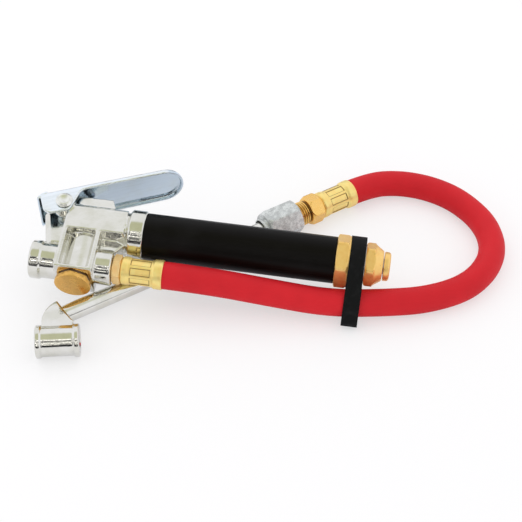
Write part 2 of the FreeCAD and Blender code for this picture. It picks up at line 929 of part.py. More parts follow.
def back_fitting():
    """Barb, hexagon and the male thread that the nut screws on; x = 0 is the hose's far end."""
    profile = [(back_thread_start - 0.5, 0), (back_thread_start - 0.5, back_thread_root)]
    crest = back_thread_start + thread_pitch
    while crest < back_thread_end - thread_pitch / 2:
        profile.append((crest - thread_pitch / 2, back_thread_root))
        profile.append((crest, back_thread_radius))
        crest += thread_pitch
    profile.append((crest - thread_pitch / 2, back_thread_root))
    profile += [(back_thread_end, back_thread_root), (back_thread_end, 0)]
    hexagonal = rounded_hexagon(back_hex, back_hex_start, back_thread_start, 0.8, 1.6, 12)
    turned_round = Placement(Vector(back_hex_start + 0.5, 0, 0), Rotation(Vector(0, 0, 1), 180))
    insert = barb(0).transformed(turned_round.toMatrix())
    body = hexagonal.fuse([turned(profile), insert])
    return body.cut(rod(fitting_way_radius, 0, back_thread_end + 1))


def hose_line():
    """The hose's corner points from the front bell to the back bell."""
    bell_front = port_front.add(Vector(ferrule_bell, 0, 0))
    start = gun_place.multVec(bell_front)
    after = gun_place.multVec(bell_front.add(Vector(front_lead, 0, 0)))
    end = whip_place.multVec(Vector(bell_length, 0, 0))
    before = whip_place.multVec(Vector(bell_length - back_lead, 0, 0))
    return [start, after] + hose_route + [before, end]


def rounded_path(points):
    """Straight runs joined by tangent arcs, each as large as its two runs allow."""
    edges = []
    here = points[0]
    radii = []
    for k in range(1, len(points) - 1):
        back = points[k - 1].sub(points[k])
        ahead = points[k + 1].sub(points[k])
        cut = 0.45 * min(back.Length, ahead.Length)
        start = points[k].add(back.normalize() * cut)
        end = points[k].add(ahead.normalize() * cut)
        middle = arc_middle(start, points[k], end)
        edges.append(Part.LineSegment(here, start).toShape())
        edges.append(Part.Arc(start, middle, end).toShape())
        radii.append(edges[-1].Curve.Radius)
        here = end
    edges.append(Part.LineSegment(here, points[-1]).toShape())
    return Part.Wire(edges), radii


def hose():
    """The rubber hose with the crimped lengths inside both ferrules."""
    points = hose_line()
    path, radii = rounded_path(points)
    way = points[1].sub(points[0])
    walls = []
    for radius in (hose_radius, hose_bore):
        circle = Part.Wire(Part.makeCircle(radius, points[0], way))
        walls.append(path.makePipeShell([circle], True, False))
    body = walls[0].cut(walls[1])
    section = math.pi * (hose_radius**2 - hose_bore**2)
    print("hose radii", " ".join("%.0f" % r for r in radii))
    print("hose length %.1f mm" % path.Length)
    print("hose volume over section times length %.4f" % (body.Volume / section / path.Length))
    front = tube(crimped_radius, hose_bore, -crimp_length, 0.0)
    front = moved(front, port_front.x + ferrule_bell, port_front.y, port_front.z)
    front = front.transformed(gun_place.toMatrix())
    back = tube(crimped_radius, hose_bore, bell_length, bell_length + crimp_length)
    back = back.transformed(whip_place.toMatrix())
    return body.fuse([front, back])


# Nut, stem and double foot
def chuck_nut():
    """The hexagonal nut that joins the stem to the hose's fitting."""
    end = nut_start + nut_length
    body = rounded_hexagon(nut_hex, nut_start, end, 0.9, 2.2)
    lip = turned(
        [
            (end - 2, 0),
            (end - 2, nut_lip_radius),
            (end + nut_lip_length - 0.5, nut_lip_radius),
            (end + nut_lip_length, nut_lip_radius - 0.5),
            (end + nut_lip_length, 0),
        ]
    )
    seat = tube_start + tube_flange_length + 0.2
    bore = rod(back_thread_radius + press_gap, nut_start - 1, seat)
    way = rod(tube_radius + 0.1, seat - 1, end + nut_lip_length + 1)
    return body.fuse(lip).cut(bore.fuse(way))


def nut_washer():
    return tube(back_thread_radius - 0.1, tube_bore, back_thread_end, tube_start)


def chuck_stem():
    """The plated tube from its flange in the nut to the spigot in the foot."""
    flange_end = tube_start + tube_flange_length
    end = tube_end + spigot_length
    body = turned(
        [
            (tube_start, 0),
            (tube_start, tube_flange_radius),
            (flange_end, tube_flange_radius),
            (flange_end, tube_radius),
            (tube_end, tube_radius),
            (tube_end, spigot_radius),
            (end, spigot_radius),
            (end, 0),
        ]
    )
    return body.cut(rod(tube_bore, tube_start - 1, tube_end)).cut(rod(spigot_bore, tube_end - 1, end + 1))


def chuck_head():
    """The double foot: a barrel with two rims, and the plate that its stem is fixed in."""
    half = foot_half
    rim = half - foot_rim_width
    round_off = 0.4
    barrel = turned(
        [
            (-half, 0),
            (-half, foot_rim_radius - round_off),
            (-half + round_off, foot_rim_radius),
            (-rim - round_off, foot_rim_radius),
            (-rim, foot_rim_radius - round_off),
            (-rim, foot_body_radius),
            (rim, foot_body_radius),
            (rim, foot_rim_radius - round_off),
            (rim + round_off, foot_rim_radius),
            (half - round_off, foot_rim_radius),
            (half, foot_rim_radius - round_off),
            (half, 0),
        ]
    )
    seat = Vector(stem_seat_x, stem_seat_y, 0)
    across = Vector(-stem_way.y, stem_way.x, 0)
    apex = seat.add(across * foot_plate_apex)
    corner = seat.sub(across * foot_plate_corner)
    left = -rim + 0.3
    low = Vector(0, 0, -foot_plate_half_depth)
    bend = Vector(left + 1.4, foot_plate_bend, 0).add(low)
    plate = outline(
        [
            Vector(left, 0, 0).add(low),
            Vector(rim - 0.3, 0, 0).add(low),
            Vector(rim - 0.3, corner.y, 0).add(low),
            corner.add(low),
            apex.add(low),
            (bend, Vector(left, foot_body_radius - 0.5, 0).add(low)),
        ]
    )
    plate = Part.Face(plate).extrude(Vector(0, 0, 2 * foot_plate_half_depth))
    mouth = seat.add(stem_way * spigot_length)
    socket = Part.makeCylinder(spigot_radius + press_gap, 2 * spigot_length + 0.2, mouth, stem_way * -1)
    socket_end = seat.sub(stem_way * spigot_length)
    drop = Part.makeCylinder(spigot_bore, socket_end.y, socket_end, Vector(0, -1, 0))
    return barrel.fuse(plate).removeSplitter().cut(foot_cavity().fuse([socket, drop]))


def foot_cavity():
    """The barrel's two bores, with the thin web between them pierced for air."""
    shape = rod(1.2, -foot_half, foot_half)
    for side in (1, -1):
        bore = rod(foot_bore, foot_web / 2, foot_half + 1)
        if side < 0:
            bore = bore.rotated(Vector(0, 0, 0), Vector(0, 0, 1), 180)
        shape = shape.fuse(bore)
    return shape


def mouth_ring():
    """The ring screwed into a mouth of the foot, with a lead-in for the tyre's valve."""
    inner = foot_half - mouth_ring_length
    return turned(
        [
            (inner, mouth_radius),
            (inner, foot_bore - press_gap),
            (foot_half, foot_bore - press_gap),
            (foot_half, mouth_radius + 0.6),
            (foot_half - 0.6, mouth_radius),
        ]
    )


def foot_seal():
    """The rubber grommet behind a mouth's ring."""
    end = foot_half - mouth_ring_length
    return tube(foot_bore - press_gap, foot_seal_hole, end - foot_seal_length, end)


def foot_pin():
    """The sprung pin that opens the tyre's valve, with its flange behind the grommet."""
    flange_end = foot_half - mouth_ring_length - foot_seal_length - loose_gap
    tip = foot_half - mouth_ring_length - pin_setback
    return turned(
        [
            (flange_end - pin_flange_length - 0.8, 0),
            (flange_end - pin_flange_length - 0.8, 1.6),
            (flange_end - pin_flange_length, 1.6),
            (flange_end - pin_flange_length, pin_flange_radius),
            (flange_end, pin_flange_radius),
            (flange_end, pin_radius),
            (tip - 0.4, pin_radius),
            (tip, pin_radius - 0.4),
            (tip, 0),
        ]
    )


def foot_spring():
    start = foot_web / 2
    end = foot_half - mouth_ring_length - foot_seal_length - loose_gap - pin_flange_length
    return coil_spring(foot_spring_radius, foot_wire, start, end, foot_spring_turns)


def foot_pieces(side, name):
    """The ring, grommet, pin and spring of one mouth."""
    turn = Rotation(Vector(0, 0, 1), 0 if side > 0 else 180)
    place = foot_place.multiply(Placement(Vector(0, 0, 0), turn))
    made = {
        "mouth_ring": mouth_ring(),
        "foot_seal": foot_seal(),
        "foot_pin": foot_pin(),
        "foot_spring": foot_spring(),
    }
    return {"%s_%s" % (key, name): shape.transformed(place.toMatrix()) for key, shape in made.items()}


# Rubber band
def belt(circles, extra):
    """The outline stretched round circles given as (y, z, radius) anticlockwise, grown by extra."""
    edges = []
    count = len(circles)
    legs = []
    for k in range(count):
        y0, z0, r0 = circles[k]
        y1, z1, r1 = circles[(k + 1) % count]
        r0 += extra
        r1 += extra
        gap = math.hypot(y1 - y0, z1 - z0)
        lean = math.atan2(z1 - z0, y1 - y0) - math.pi / 2 + math.asin((r0 - r1) / gap)
        out = (math.cos(lean), math.sin(lean))
        legs.append(((y0 + r0 * out[0], z0 + r0 * out[1]), (y1 + r1 * out[0], z1 + r1 * out[1]), lean))
    for k in range(count):
        a, b, lean = legs[k]
        after = legs[(k + 1) % count]
        y, z, r = circles[(k + 1) % count]
        r += extra
        sweep = (after[2] - lean) % (2 * math.pi)
        middle = lean + sweep / 2
        over = Vector(0, y + r * math.cos(middle), z + r * math.sin(middle))
        edges.append(Part.LineSegment(Vector(0, *a), Vector(0, *b)).toShape())
        edges.append(Part.Arc(Vector(0, *b), over, Vector(0, *after[0])).toShape())
    return Part.Face(Part.Wire(edges))


def rubber_band():
    """The band that ties the hose to the tail; its spare length lies folded on the floor."""
    middle = band_start + band_width / 2
    path = rounded_path(hose_line())[0]
    far = 2 * band_fold_reach
    around = [Vector(middle, far * y, far * z) for y, z in ((-1, -1), (1, -1), (1, 1), (-1, 1), (-1, -1))]
    plane = Part.Face(Part.makePolygon(around)).transformed(gun_place.toMatrix())
    crossing = path.section(plane).Vertexes
    lowest = min(crossing, key=lambda v: v.Point.y)
    place_back = gun_place.inverse()
    hose_at = place_back.multVec(lowest.Point)
    tail = gun_place.multVec(Vector(middle, 0, 0))
    fold = Vector(tail.x, tail.y - band_fold_reach, band_fold_radius + band_thickness + loose_gap)
    fold_at = place_back.multVec(fold)
    grip = tail_shoulder_radius + press_gap
    tail_circle = (0.0, 0.0, grip)
    fold_circle = (fold_at.y, fold_at.z, band_fold_radius)
    hose_circle = (hose_at.y, hose_at.z, hose_radius + band_slack)
    circles = [tail_circle, hose_circle, fold_circle, hose_circle]
    print("hose at the band, height %.2f mm" % lowest.Point.z)
    print("hose at the band, from the tail's axis %.2f mm" % math.hypot(hose_at.y, hose_at.z))
    face = belt(circles, band_thickness).cut(belt(circles, 0.0))
    return moved(face.extrude(Vector(band_width, 0, 0)), band_start)


def all_pieces():
    """Every piece in the object's frame, by its node name."""
    port = Placement(port_front, Rotation())
    gun = {
        "valve_block": valve_block(),
        "valve_stem": valve_stem(),
        "stem_seal": stem_seal(),
        "valve_poppet": valve_poppet(),
        "poppet_washer": poppet_washer(),
        "valve_spring": valve_spring(),
        "valve_plug": valve_plug(),
        "plug_gasket": plug_gasket(),
        "lever": lever(),
        "lever_rivet": lever_rivet(),
        "grip_sleeve": grip_sleeve(),
        "gauge_barrel": gauge_barrel(),
        "tail_ring": tail_ring(),
        "end_cap": end_cap(),
        "piston_cup": piston_cup(),
        "gauge_piston": gauge_piston(),
        "gauge_spring": gauge_spring(),
        "indicator_bar": indicator_bar(),
        "bar_button": bar_button(),
        "front_fitting": front_fitting().transformed(port.toMatrix()),
        "front_ferrule": ferrule().transformed(port.toMatrix()),
        "rubber_band": rubber_band(),
    }
    turned_round = Placement(Vector(ferrule_length, 0, 0), Rotation(Vector(0, 0, 1), 180))
    whip = {
        "back_ferrule": ferrule().transformed(turned_round.toMatrix()),
        "back_fitting": back_fitting(),
        "chuck_nut": chuck_nut(),
        "nut_washer": nut_washer(),
        "chuck_stem": chuck_stem(),
    }
    pieces = {name: shape.transformed(gun_place.toMatrix()) for name, shape in gun.items()}
    pieces.update({name: shape.transformed(whip_place.toMatrix()) for name, shape in whip.items()})
    pieces["chuck_head"] = chuck_head().transformed(foot_place.toMatrix())
    pieces["hose"] = hose()
    for side, name in ((1, "front"), (-1, "rear")):
        pieces.update(foot_pieces(side, name))
    return pieces


def main():
    os.makedirs("parts", exist_ok=True)
    for name, shape in all_pieces().items():
        if not shape.isValid() or len(shape.Solids) != 1:
            raise ValueError("%s: valid %s, %d solids" % (name, shape.isValid(), len(shape.Solids)))
        shape.Solids[0].exportStep("parts/%s.step" % name)


main()
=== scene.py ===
"""Visible pieces and finishes of a hand-held tyre inflator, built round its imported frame.

Lengths in the tables below are millimetres; meshes and properties are in metres. The gun frame has
X along the handle, the whip frame has X from the hose's far end towards the foot, and a turned
piece is made about X of its own frame.
"""

import json
import math
from typing import NamedTuple

import bmesh
import bpy
from bpy.props import FloatProperty, FloatVectorProperty, IntProperty, PointerProperty
from mathutils import Matrix, Vector, noise


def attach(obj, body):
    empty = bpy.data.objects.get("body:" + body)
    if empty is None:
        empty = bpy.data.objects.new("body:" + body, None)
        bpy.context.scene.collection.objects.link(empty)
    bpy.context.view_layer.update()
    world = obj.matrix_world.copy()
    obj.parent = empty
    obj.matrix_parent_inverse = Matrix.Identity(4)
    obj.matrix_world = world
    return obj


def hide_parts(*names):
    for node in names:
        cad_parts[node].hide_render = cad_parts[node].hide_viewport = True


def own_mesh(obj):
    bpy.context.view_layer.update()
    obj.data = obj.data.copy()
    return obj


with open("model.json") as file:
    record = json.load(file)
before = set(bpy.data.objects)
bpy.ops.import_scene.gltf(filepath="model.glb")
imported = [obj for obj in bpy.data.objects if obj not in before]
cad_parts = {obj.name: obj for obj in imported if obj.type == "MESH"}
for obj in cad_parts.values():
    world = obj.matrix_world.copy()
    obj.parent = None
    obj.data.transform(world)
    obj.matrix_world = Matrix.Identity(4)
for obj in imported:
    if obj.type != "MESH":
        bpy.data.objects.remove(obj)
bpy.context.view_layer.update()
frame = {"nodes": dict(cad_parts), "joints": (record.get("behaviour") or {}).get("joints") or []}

bl_info = {
    "name": "Tyre inflator dressing",
    "version": (1, 0, 0),
    "blender": (4, 5, 0),
    "location": "3D View > Sidebar > Inflator",
    "description": "Builds the visible pieces and finishes of a tyre inflator on its packed frame",
    "category": "Object",
}

MM = 0.001


def shifted(x, y, z):
    return Matrix.Translation(Vector((x, y, z)) * MM)


def swung(degrees, axis):
    return Matrix.Rotation(math.radians(degrees), 4, axis)


# How the pieces lie, the same as in the part's source
FERRULE_LENGTH = 21.3
FERRULE_BELL = 16.7
GUN = shifted(-65.4, 8.5, 28.095) @ swung(2.95, "Y") @ swung(14.3, "X")
PORT = GUN @ shifted(22.6, -22.0, 0)
INLET = GUN @ shifted(0, -22.0, 0)
PLUG = GUN @ swung(90, "Z")
RIVET = GUN @ shifted(-11.8, 7.0, 0) @ swung(-90, "Y")
LEVER = GUN @ shifted(-11.8, 7.0, 0) @ swung(23.2, "Z")
WHIP = shifted(64.9, 79.6, 8.25) @ swung(220.64, "Z")
FERRULE_BACK = WHIP @ shifted(FERRULE_LENGTH, 0, 0) @ swung(180, "Z")

# The hose's straight leads out of the two ferrules, and its route between them
LEAD_FRONT, LEAD_BACK = 28.0, 17.4
HOSE_ROUTE = [
    (31.6, -11.9, 14.2),
    (61.6, -11.3, 10.0),
    (88.6, -5.9, 8.4),
    (112.1, 1.1, 7.0),
    (133.3, 14.8, 7.0),
    (144.1, 38.6, 7.0),
    (140.0, 62.6, 7.0),
    (125.0, 81.4, 7.0),
    (108.6, 90.6, 7.0),
    (91.0, 93.0, 7.3),
]

# Rubber band: where it starts along the gun, its inner radius over the tail, its gap to the hose,
# how far its free fold hangs from the gun's line, that fold's radius and its gap to the floor
BAND_START = 135.0
BAND_SEAT = 13.05
BAND_OFF_HOSE = 0.45
BAND_REACH = 24.6
BAND_FOLD = 2.4
BAND_OFF_FLOOR = 0.3

# Closed sections of the turned pieces, as points of place along the axis and radius
FERRULE_SECTION = [
    (0, 4.3), (0, 6.2), (0.9, 7.15), (3.1, 7.15), (4.1, 6.85), (16.0, 6.85), (17.0, 7.5),
    (20.9, 7.6), (21.3, 7.35), (21.3, 7.05), (16.8, 7.05), (16.7, 5.95), (1.4, 5.95), (1.4, 4.3),
]
FITTING_SECTION = [
    (21.6, 2.2), (21.6, 7.15), (22.4, 8.26), (27.8, 8.26), (29.4, 7.15), (29.5, 5.75), (41.9, 5.75),
    (41.9, 2.2),
]
NUT_SECTION = [
    (36.2, 6.63), (36.2, 8.25), (37.1, 9.53), (53.8, 9.53), (56.0, 8.25), (56.0, 6.3), (58.5, 6.3),
    (58.5, 5.6), (50.0, 5.6), (49.5, 4.78), (45.6, 4.78), (45.6, 6.63),
]
STEM_SECTION = [
    (43.4, 2.6), (43.4, 6.3), (45.4, 6.3), (45.4, 4.65), (176.7, 4.65), (176.7, 3.0), (181.3, 3.0),
    (181.3, 1.6), (176.7, 1.6), (176.7, 2.6),
]
INLET_SECTION = [(-22.7, 6.52), (-22.7, 6.75), (-11.5, 6.75), (-11.5, 6.52)]
PLUG_SECTION = [
    (-34.8, 0), (-34.8, 9.2), (-32.9, 9.2), (-32.85, 9.12), (-31.5, 9.12), (-31.5, 6.2),
    (-26.0, 6.2), (-26.0, 4.6), (-30.9, 4.6), (-30.9, 0),
]
RIVET_SECTION = [
    (-13.75, 0), (-13.85, 1.5), (-14.3, 2.9), (-13.2, 4.4), (-12.8, 4.4), (-12.8, 2.05),
    (12.8, 2.05), (12.8, 4.4), (13.2, 4.4), (14.3, 2.9), (13.85, 1.5), (13.75, 0),
]
SLEEVE_SECTION = [(31.0, 9.95), (31.0, 11.9), (128.4, 11.9), (128.4, 9.95)]
RING_SECTION = [
    (128.4, 9.95), (128.4, 12.15), (129.0, 14.0), (134.0, 14.0), (134.6, 13.0), (142.9, 13.0),
    (142.9, 9.95),
]
CAP_SECTION = [
    (128.0, 3.0), (128.0, 7.95), (143.4, 7.95), (143.4, 10.45), (144.3, 11.35), (147.7, 11.35),
    (148.3, 10.35), (152.3, 7.6), (152.3, 3.0),
]
BUTTON_SECTION = [
    (152.8, 0), (152.8, 7.25), (153.1, 7.4), (154.9, 7.4), (155.7, 6.9), (156.0, 6.1), (156.0, 0),
]


def linear(red, green, blue):
    """A colour from display values of 0 to 255."""
    shares = [value / 255 for value in (red, green, blue)]
    return tuple(s / 12.92 if s <= 0.04045 else ((s + 0.055) / 1.055) ** 2.4 for s in shares)


def tinted(colour, red, green=None, blue=None):
    """A colour with its parts multiplied by three numbers, or all by the first."""
    shares = (red, red if green is None else green, red if blue is None else blue)
    return tuple(min(1.0, part * share) for part, share in zip(colour, shares))


# Properties
def length_property(title, about, value):
    return FloatProperty(name=title, description=about, default=value * MM, unit="LENGTH")


def power_property(title, about, value):
    return FloatProperty(name=title, description=about, default=value, unit="POWER")


def colour_property(title, about, value):
    return FloatVectorProperty(
        name=title, description=about, default=value, size=3, min=0, max=1, subtype="COLOR"
    )


class InflatorSizes(bpy.types.PropertyGroup):
    """Sizes of the pieces that are built here."""

    hose_radius: length_property("Hose radius", "Outer radius of the rubber hose", 7.0)
    band_width: length_property("Band width", "Width of the rubber band", 8.2)
    band_thickness: length_property("Band thickness", "Thickness of the rubber band", 1.4)
    casting_skin: length_property("Casting skin", "Spacing of the casting's surface points", 0.36)
    casting_rounds: IntProperty(
        name="Polishing rounds",
        description="How often the castings' edges are rubbed down",
        default=7,
        min=1,
    )
    thread_depth: length_property("Thread depth", "Depth of the pipe threads", 0.8)
    thread_pitch: length_property("Thread pitch", "Distance between two turns of a thread", 1.337)


class InflatorFinishes(bpy.types.PropertyGroup):
    """Colours of the finishes."""

    hose: colour_property("Hose", "Red of the rubber hose", linear(208, 30, 40))
    grip: colour_property("Grip", "Black of the handle's sleeve", linear(11, 9, 7))
    band: colour_property("Band", "Black of the rubber band", linear(13, 14, 14))
    chrome: colour_property("Chrome", "Plating of castings and stem", linear(232, 231, 224))
    zinc: colour_property("Zinc sheet", "Bluish zinc of the lever", linear(242, 249, 253))
    # painted shade: the lever's hollow gets this darker, bluer colour in place of its shade
    zinc_hollow_shade: colour_property("Zinc hollow", "Bluer zinc in the lever", linear(212, 226, 236))
    nut: colour_property("Zinc nut", "Mottled zinc of the nut", linear(240, 243, 240))
    brass: colour_property("Brass", "Brass of the tail", linear(250, 204, 120))
    gold: colour_property("Bright brass", "Brass of the ferrules", linear(255, 222, 134))


class InflatorStudio(bpy.types.PropertyGroup):
    """Floor and light."""

    floor: colour_property("Floor", "Colour of the floor", linear(252, 251, 253))
    key_power: power_property("Key lamp", "Power of the lamp behind the object", 1.0)
    fill_power: power_property("Fill lamp", "Power of the lamp at the left", 0.25)
    sky: FloatProperty(
        name="Room light", description="Strength of the light from the room", default=0.97, min=0
    )


# Shader graphs
class Link:
    """An output of a shader graph; in an expression it adds Math nodes."""

    def __init__(self, graph, socket):
        self.graph = graph
        self.socket = socket

    def maths(self, operation, *others):
        return self.graph.maths(operation, self, *others)

    def size(self):
        return self.maths("ABSOLUTE")

    def __add__(self, other):
        return self.maths("ADD", other)

    def __radd__(self, other):
        return self.graph.maths("ADD", other, self)

    def __sub__(self, other):
        return self.maths("SUBTRACT", other)

    def __rsub__(self, other):
        return self.graph.maths("SUBTRACT", other, self)

    def __mul__(self, other):
        return self.maths("MULTIPLY", other)

    def __rmul__(self, other):
        return self.graph.maths("MULTIPLY", other, self)


class Graph:
    """The node tree of a material or of the world."""

    def __init__(self, owner):
        owner.use_nodes = True
        self.tree = owner.node_tree
        self.tree.nodes.clear()

    def add(self, kind, settings, inputs, output=0):
        """Adds a node: its settings first, then the values or links of its sockets."""
        node = self.tree.nodes.new(kind)
        for key, value in settings.items():
            setattr(node, key, value)
        for key, value in inputs.items():
            if isinstance(value, Link):
                self.tree.links.new(value.socket, node.inputs[key])
            else:
                node.inputs[key].default_value = value
        return Link(self, node.outputs[output]) if len(node.outputs) else None

    def maths(self, operation, *values):
        return self.add("ShaderNodeMath", {"operation": operation}, dict(enumerate(values)))

    def vector_maths(self, operation, *values, output="Vector"):
        inputs = dict(enumerate(values))
        return self.add("ShaderNodeVectorMath", {"operation": operation}, inputs, output)

    def place(self):
        """Position on the piece, in its own frame."""
        return self.add("ShaderNodeTexCoord", {}, {}, "Object")

    def ray(self, kind):
        """One for rays of a kind, and nought for the others."""
        return self.add("ShaderNodeLightPath", {}, {}, f"Is {kind} Ray")

    def stretched(self, vector, scale):
        return self.vector_maths("MULTIPLY", vector, scale)

    def axis(self, vector, number):
        return self.add("ShaderNodeSeparateXYZ", {}, {0: vector}, number)

    def noise(self, vector, scale, detail=2.0, roughness=0.5, distortion=0.0):
        inputs = {"Vector": vector, "Scale": scale, "Detail": detail}
        inputs |= {"Roughness": roughness, "Distortion": distortion}
        return self.add("ShaderNodeTexNoise", {}, inputs, "Fac")

    def spread(self, value, low, high, to_low=0.0, to_high=1.0):
        """A value's smooth rise from one number to another, between low and high."""
        inputs = {"Value": value, "From Min": low, "From Max": high}
        inputs |= {"To Min": to_low, "To Max": to_high}
        return self.add("ShaderNodeMapRange", {"interpolation_type": "SMOOTHSTEP"}, inputs)

    def blend(self, share, first, second, how="MIX"):
        """Two colours or links to colours, mixed."""
        colours = [c if isinstance(c, Link) else (*c, 1.0) for c in (first, second)]
        settings = {"data_type": "RGBA", "blend_type": how}
        return self.add("ShaderNodeMix", settings, {0: share, 6: colours[0], 7: colours[1]}, 2)

    def bump(self, height, strength, distance, soft_edge=0.0):
        inputs = {"Height": height, "Strength": strength, "Distance": distance}
        if soft_edge:
            inputs["Normal"] = self.add("ShaderNodeBevel", {"samples": 4}, {"Radius": soft_edge})
        return self.add("ShaderNodeBump", {}, inputs)

    def shine(self, **sockets):
        """The surface itself, on the material's output."""
        names = {key.replace("_", " "): value for key, value in sockets.items()}
        shader = self.add("ShaderNodeBsdfPrincipled", {}, names)
        self.add("ShaderNodeOutputMaterial", {}, {"Surface": shader})


def material(name):
    made = bpy.data.materials.new(name)
    return made, Graph(made)


def chrome(name, colour, ripple=1.0):
    """Bright plating over a polished casting: faint waves, haze and a few fine scratches."""
    made, g = material(name)
    place = g.place()
    cloud = g.noise(place, 120.0, 3.0)
    scratch = g.noise(g.stretched(place, (900.0, 5200.0, 900.0)), 1.0, 1.0)
    shade = g.blend(g.spread(cloud, 0.35, 0.7), colour, tinted(colour, 0.90, 0.90, 0.86))
    rough = 0.055 + 0.07 * g.spread(cloud, 0.4, 0.75) + 0.05 * g.spread(scratch, 0.62, 0.75)
    waves = g.noise(place, 420.0) * 0.7 + g.noise(place, 1250.0) * 0.5
    height = waves + g.noise(place, 2600.0) * 0.14
    normal = g.bump(height, 0.24 * ripple, 0.12 * MM)
    g.shine(Base_Color=shade, Metallic=1.0, Roughness=rough, Normal=normal)
    return made


def zinc_sheet(name, colour, hollow_shade_colour):
    """Rolled steel with bluish zinc and faint streaks along it; its hollow has painted shade, a
    darker and bluer colour.

    The hollow lies within 11.5 mm of the lever's middle plane and below 7.5 mm.
    """
    made, g = material(name)
    place = g.place()
    high, across = g.axis(place, 1), g.axis(place, 2)
    hollow = g.spread(across.size(), 11.7 * MM, 11.3 * MM) * g.spread(high, 7.7 * MM, 7.3 * MM)
    streak = g.noise(g.stretched(place, (60.0, 1500.0, 1500.0)), 1.0, 3.0)
    streaked = g.spread(streak, 0.3, 0.8)
    cloud = g.noise(place, 90.0)
    # painted shade: the hollow is coloured darker and bluer than the rest of the sheet
    shade = g.blend(hollow, colour, hollow_shade_colour)
    shade = g.blend(g.spread(cloud, 0.45, 0.75) * 0.5, shade, (0.93, 0.90, 0.84), "MULTIPLY")
    shade = g.blend(streaked * 0.3, shade, (0.78, 0.80, 0.84), "MULTIPLY")
    rough = 0.09 + 0.08 * streaked + 0.04 * g.spread(cloud, 0.4, 0.7)
    normal = g.bump(streak * 0.4 + g.noise(place, 500.0), 0.14, 0.08 * MM)
    g.shine(Base_Color=shade, Metallic=1.0, Roughness=rough, Normal=normal)
    return made


def zinc_cast(name, colour):
    """Dull zinc plate on a turned nut: fine mottling, a few small pits and rubbed spots."""
    made, g = material(name)
    place = g.place()
    patch = g.noise(place, 330.0)
    fine = g.noise(place, 2300.0, 3.0, 0.6)
    pits = g.spread(g.noise(place, 760.0, roughness=0.7), 0.70, 0.77)
    shade = g.blend(g.spread(patch, 0.35, 0.65), tinted(colour, 0.74), colour)
    shade = g.blend(g.spread(fine, 0.4, 0.65) * 0.7, shade, (0.56, 0.57, 0.58), "MULTIPLY")
    shade = g.blend(pits * 0.8, shade, (0.05, 0.055, 0.06))
    rough = 0.36 + 0.18 * fine + 0.08 * patch
    normal = g.bump(fine * 0.7 + patch * 0.3 - 1.5 * pits, 0.3, 0.12 * MM, 0.3 * MM)
    g.shine(Base_Color=shade, Metallic=0.85, Roughness=rough, Normal=normal)
    return made


def panel_outlines(g, place, panels):
    """One along the outlines of a ferrule's crimped panels, where painted shade goes, and nought
    elsewhere.
    """
    along, side, high = g.axis(place, 0), g.axis(place, 1), g.axis(place, 2)
    turns = high.maths("ARCTAN2", side) * (panels.count / math.tau)
    turns += 1 - panels.turn * panels.count / 360
    past = (turns.maths("FRACT") - 0.5).size()
    middle, half = (panels.start + panels.end) / 2 * MM, (panels.end - panels.start) / 2 * MM
    off = (along - middle).size()
    edge = panels.share / 2
    from_flank = (past - (edge - 0.03)).size()
    from_end = (off - (half - 0.25 * MM)).size()
    flanks = g.spread(from_flank, 0.05, 0.025) * g.spread(off, half, half - 0.3 * MM)
    ends = g.spread(from_end, 0.32 * MM, 0.14 * MM) * g.spread(past, edge, edge - 0.02)
    return flanks.maths("MAXIMUM", ends)


def brass(
    name, colour, rough, marks, tarnish, metallic=1.0, soft_edge=0.0, groove=0.0, panels=None
):
    """Turned brass, rough between two numbers: rings from the tool, and tarnish in patches.

    Painted shade darkens a thread's grooves, under the groove radius, and the outlines of crimped
    panels.
    """
    made, g = material(name)
    place = g.place()
    rings = g.noise(g.stretched(place, (5200.0, 90.0, 90.0)), 1.0)
    cloud = g.noise(place, 260.0, 3.0, 0.6)
    spots = g.spread(g.noise(place, 900.0, 3.0, 0.7), 0.6, 0.75)
    shade = g.blend(g.spread(cloud, 0.35, 0.65), colour, tinted(colour, 1.06, 1.12, 1.25))
    stain = g.spread(cloud, 0.5, 0.8) * tarnish + spots * tarnish * 0.5
    shade = g.blend(stain, shade, tinted(colour, 0.66, 0.52, 0.34))
    if groove:
        # painted shade: a thread's grooves are coloured near black
        reach = g.vector_maths("LENGTH", g.stretched(place, (0.0, 1.0, 1.0)), output="Value")
        groove_shade = g.spread(reach, groove + 0.2 * MM, groove - 0.3 * MM)
        shade = g.blend(groove_shade, shade, (0.10, 0.045, 0.012))
    if panels:
        # painted shade: dark lines along the outlines of the crimped panels
        shade = g.blend(panel_outlines(g, place, panels) * 0.8, shade, (0.20, 0.09, 0.015))
    dull = g.spread(cloud, 0.3, 0.75, *rough) + 0.08 * g.spread(rings, 0.4, 0.7)
    normal = g.bump(rings * marks + 0.3 * cloud, 0.22, 0.06 * MM, soft_edge)
    g.shine(Base_Color=shade, Metallic=metallic, Roughness=dull, Normal=normal)
    return made


def hose_rubber(name, colour):
    """Matt red rubber: the fine mark of the cloth it was cured in, dust and a slight bloom."""
    made, g = material(name)
    place = g.place()
    cloud = g.noise(place, 45.0, 3.0)
    weave = g.noise(place, 3200.0, roughness=0.6)
    wrap = g.noise(g.stretched(place, (700.0, 700.0, 2600.0)), 1.0)
    dust = g.spread(g.noise(place, 2100.0, 3.0, 0.7), 0.68, 0.8)
    shade = g.blend(g.spread(cloud, 0.3, 0.7), tinted(colour, 0.93), tinted(colour, 1.05))
    shade = g.blend(dust * 0.12, shade, (0.75, 0.45, 0.42))
    rough = 0.52 + 0.12 * g.spread(weave, 0.3, 0.7)
    normal = g.bump(weave * 0.5 + wrap * 0.5, 0.25, 0.08 * MM)
    g.shine(Base_Color=shade, Roughness=rough, Specular_IOR_Level=0.2, Normal=normal)
    return made


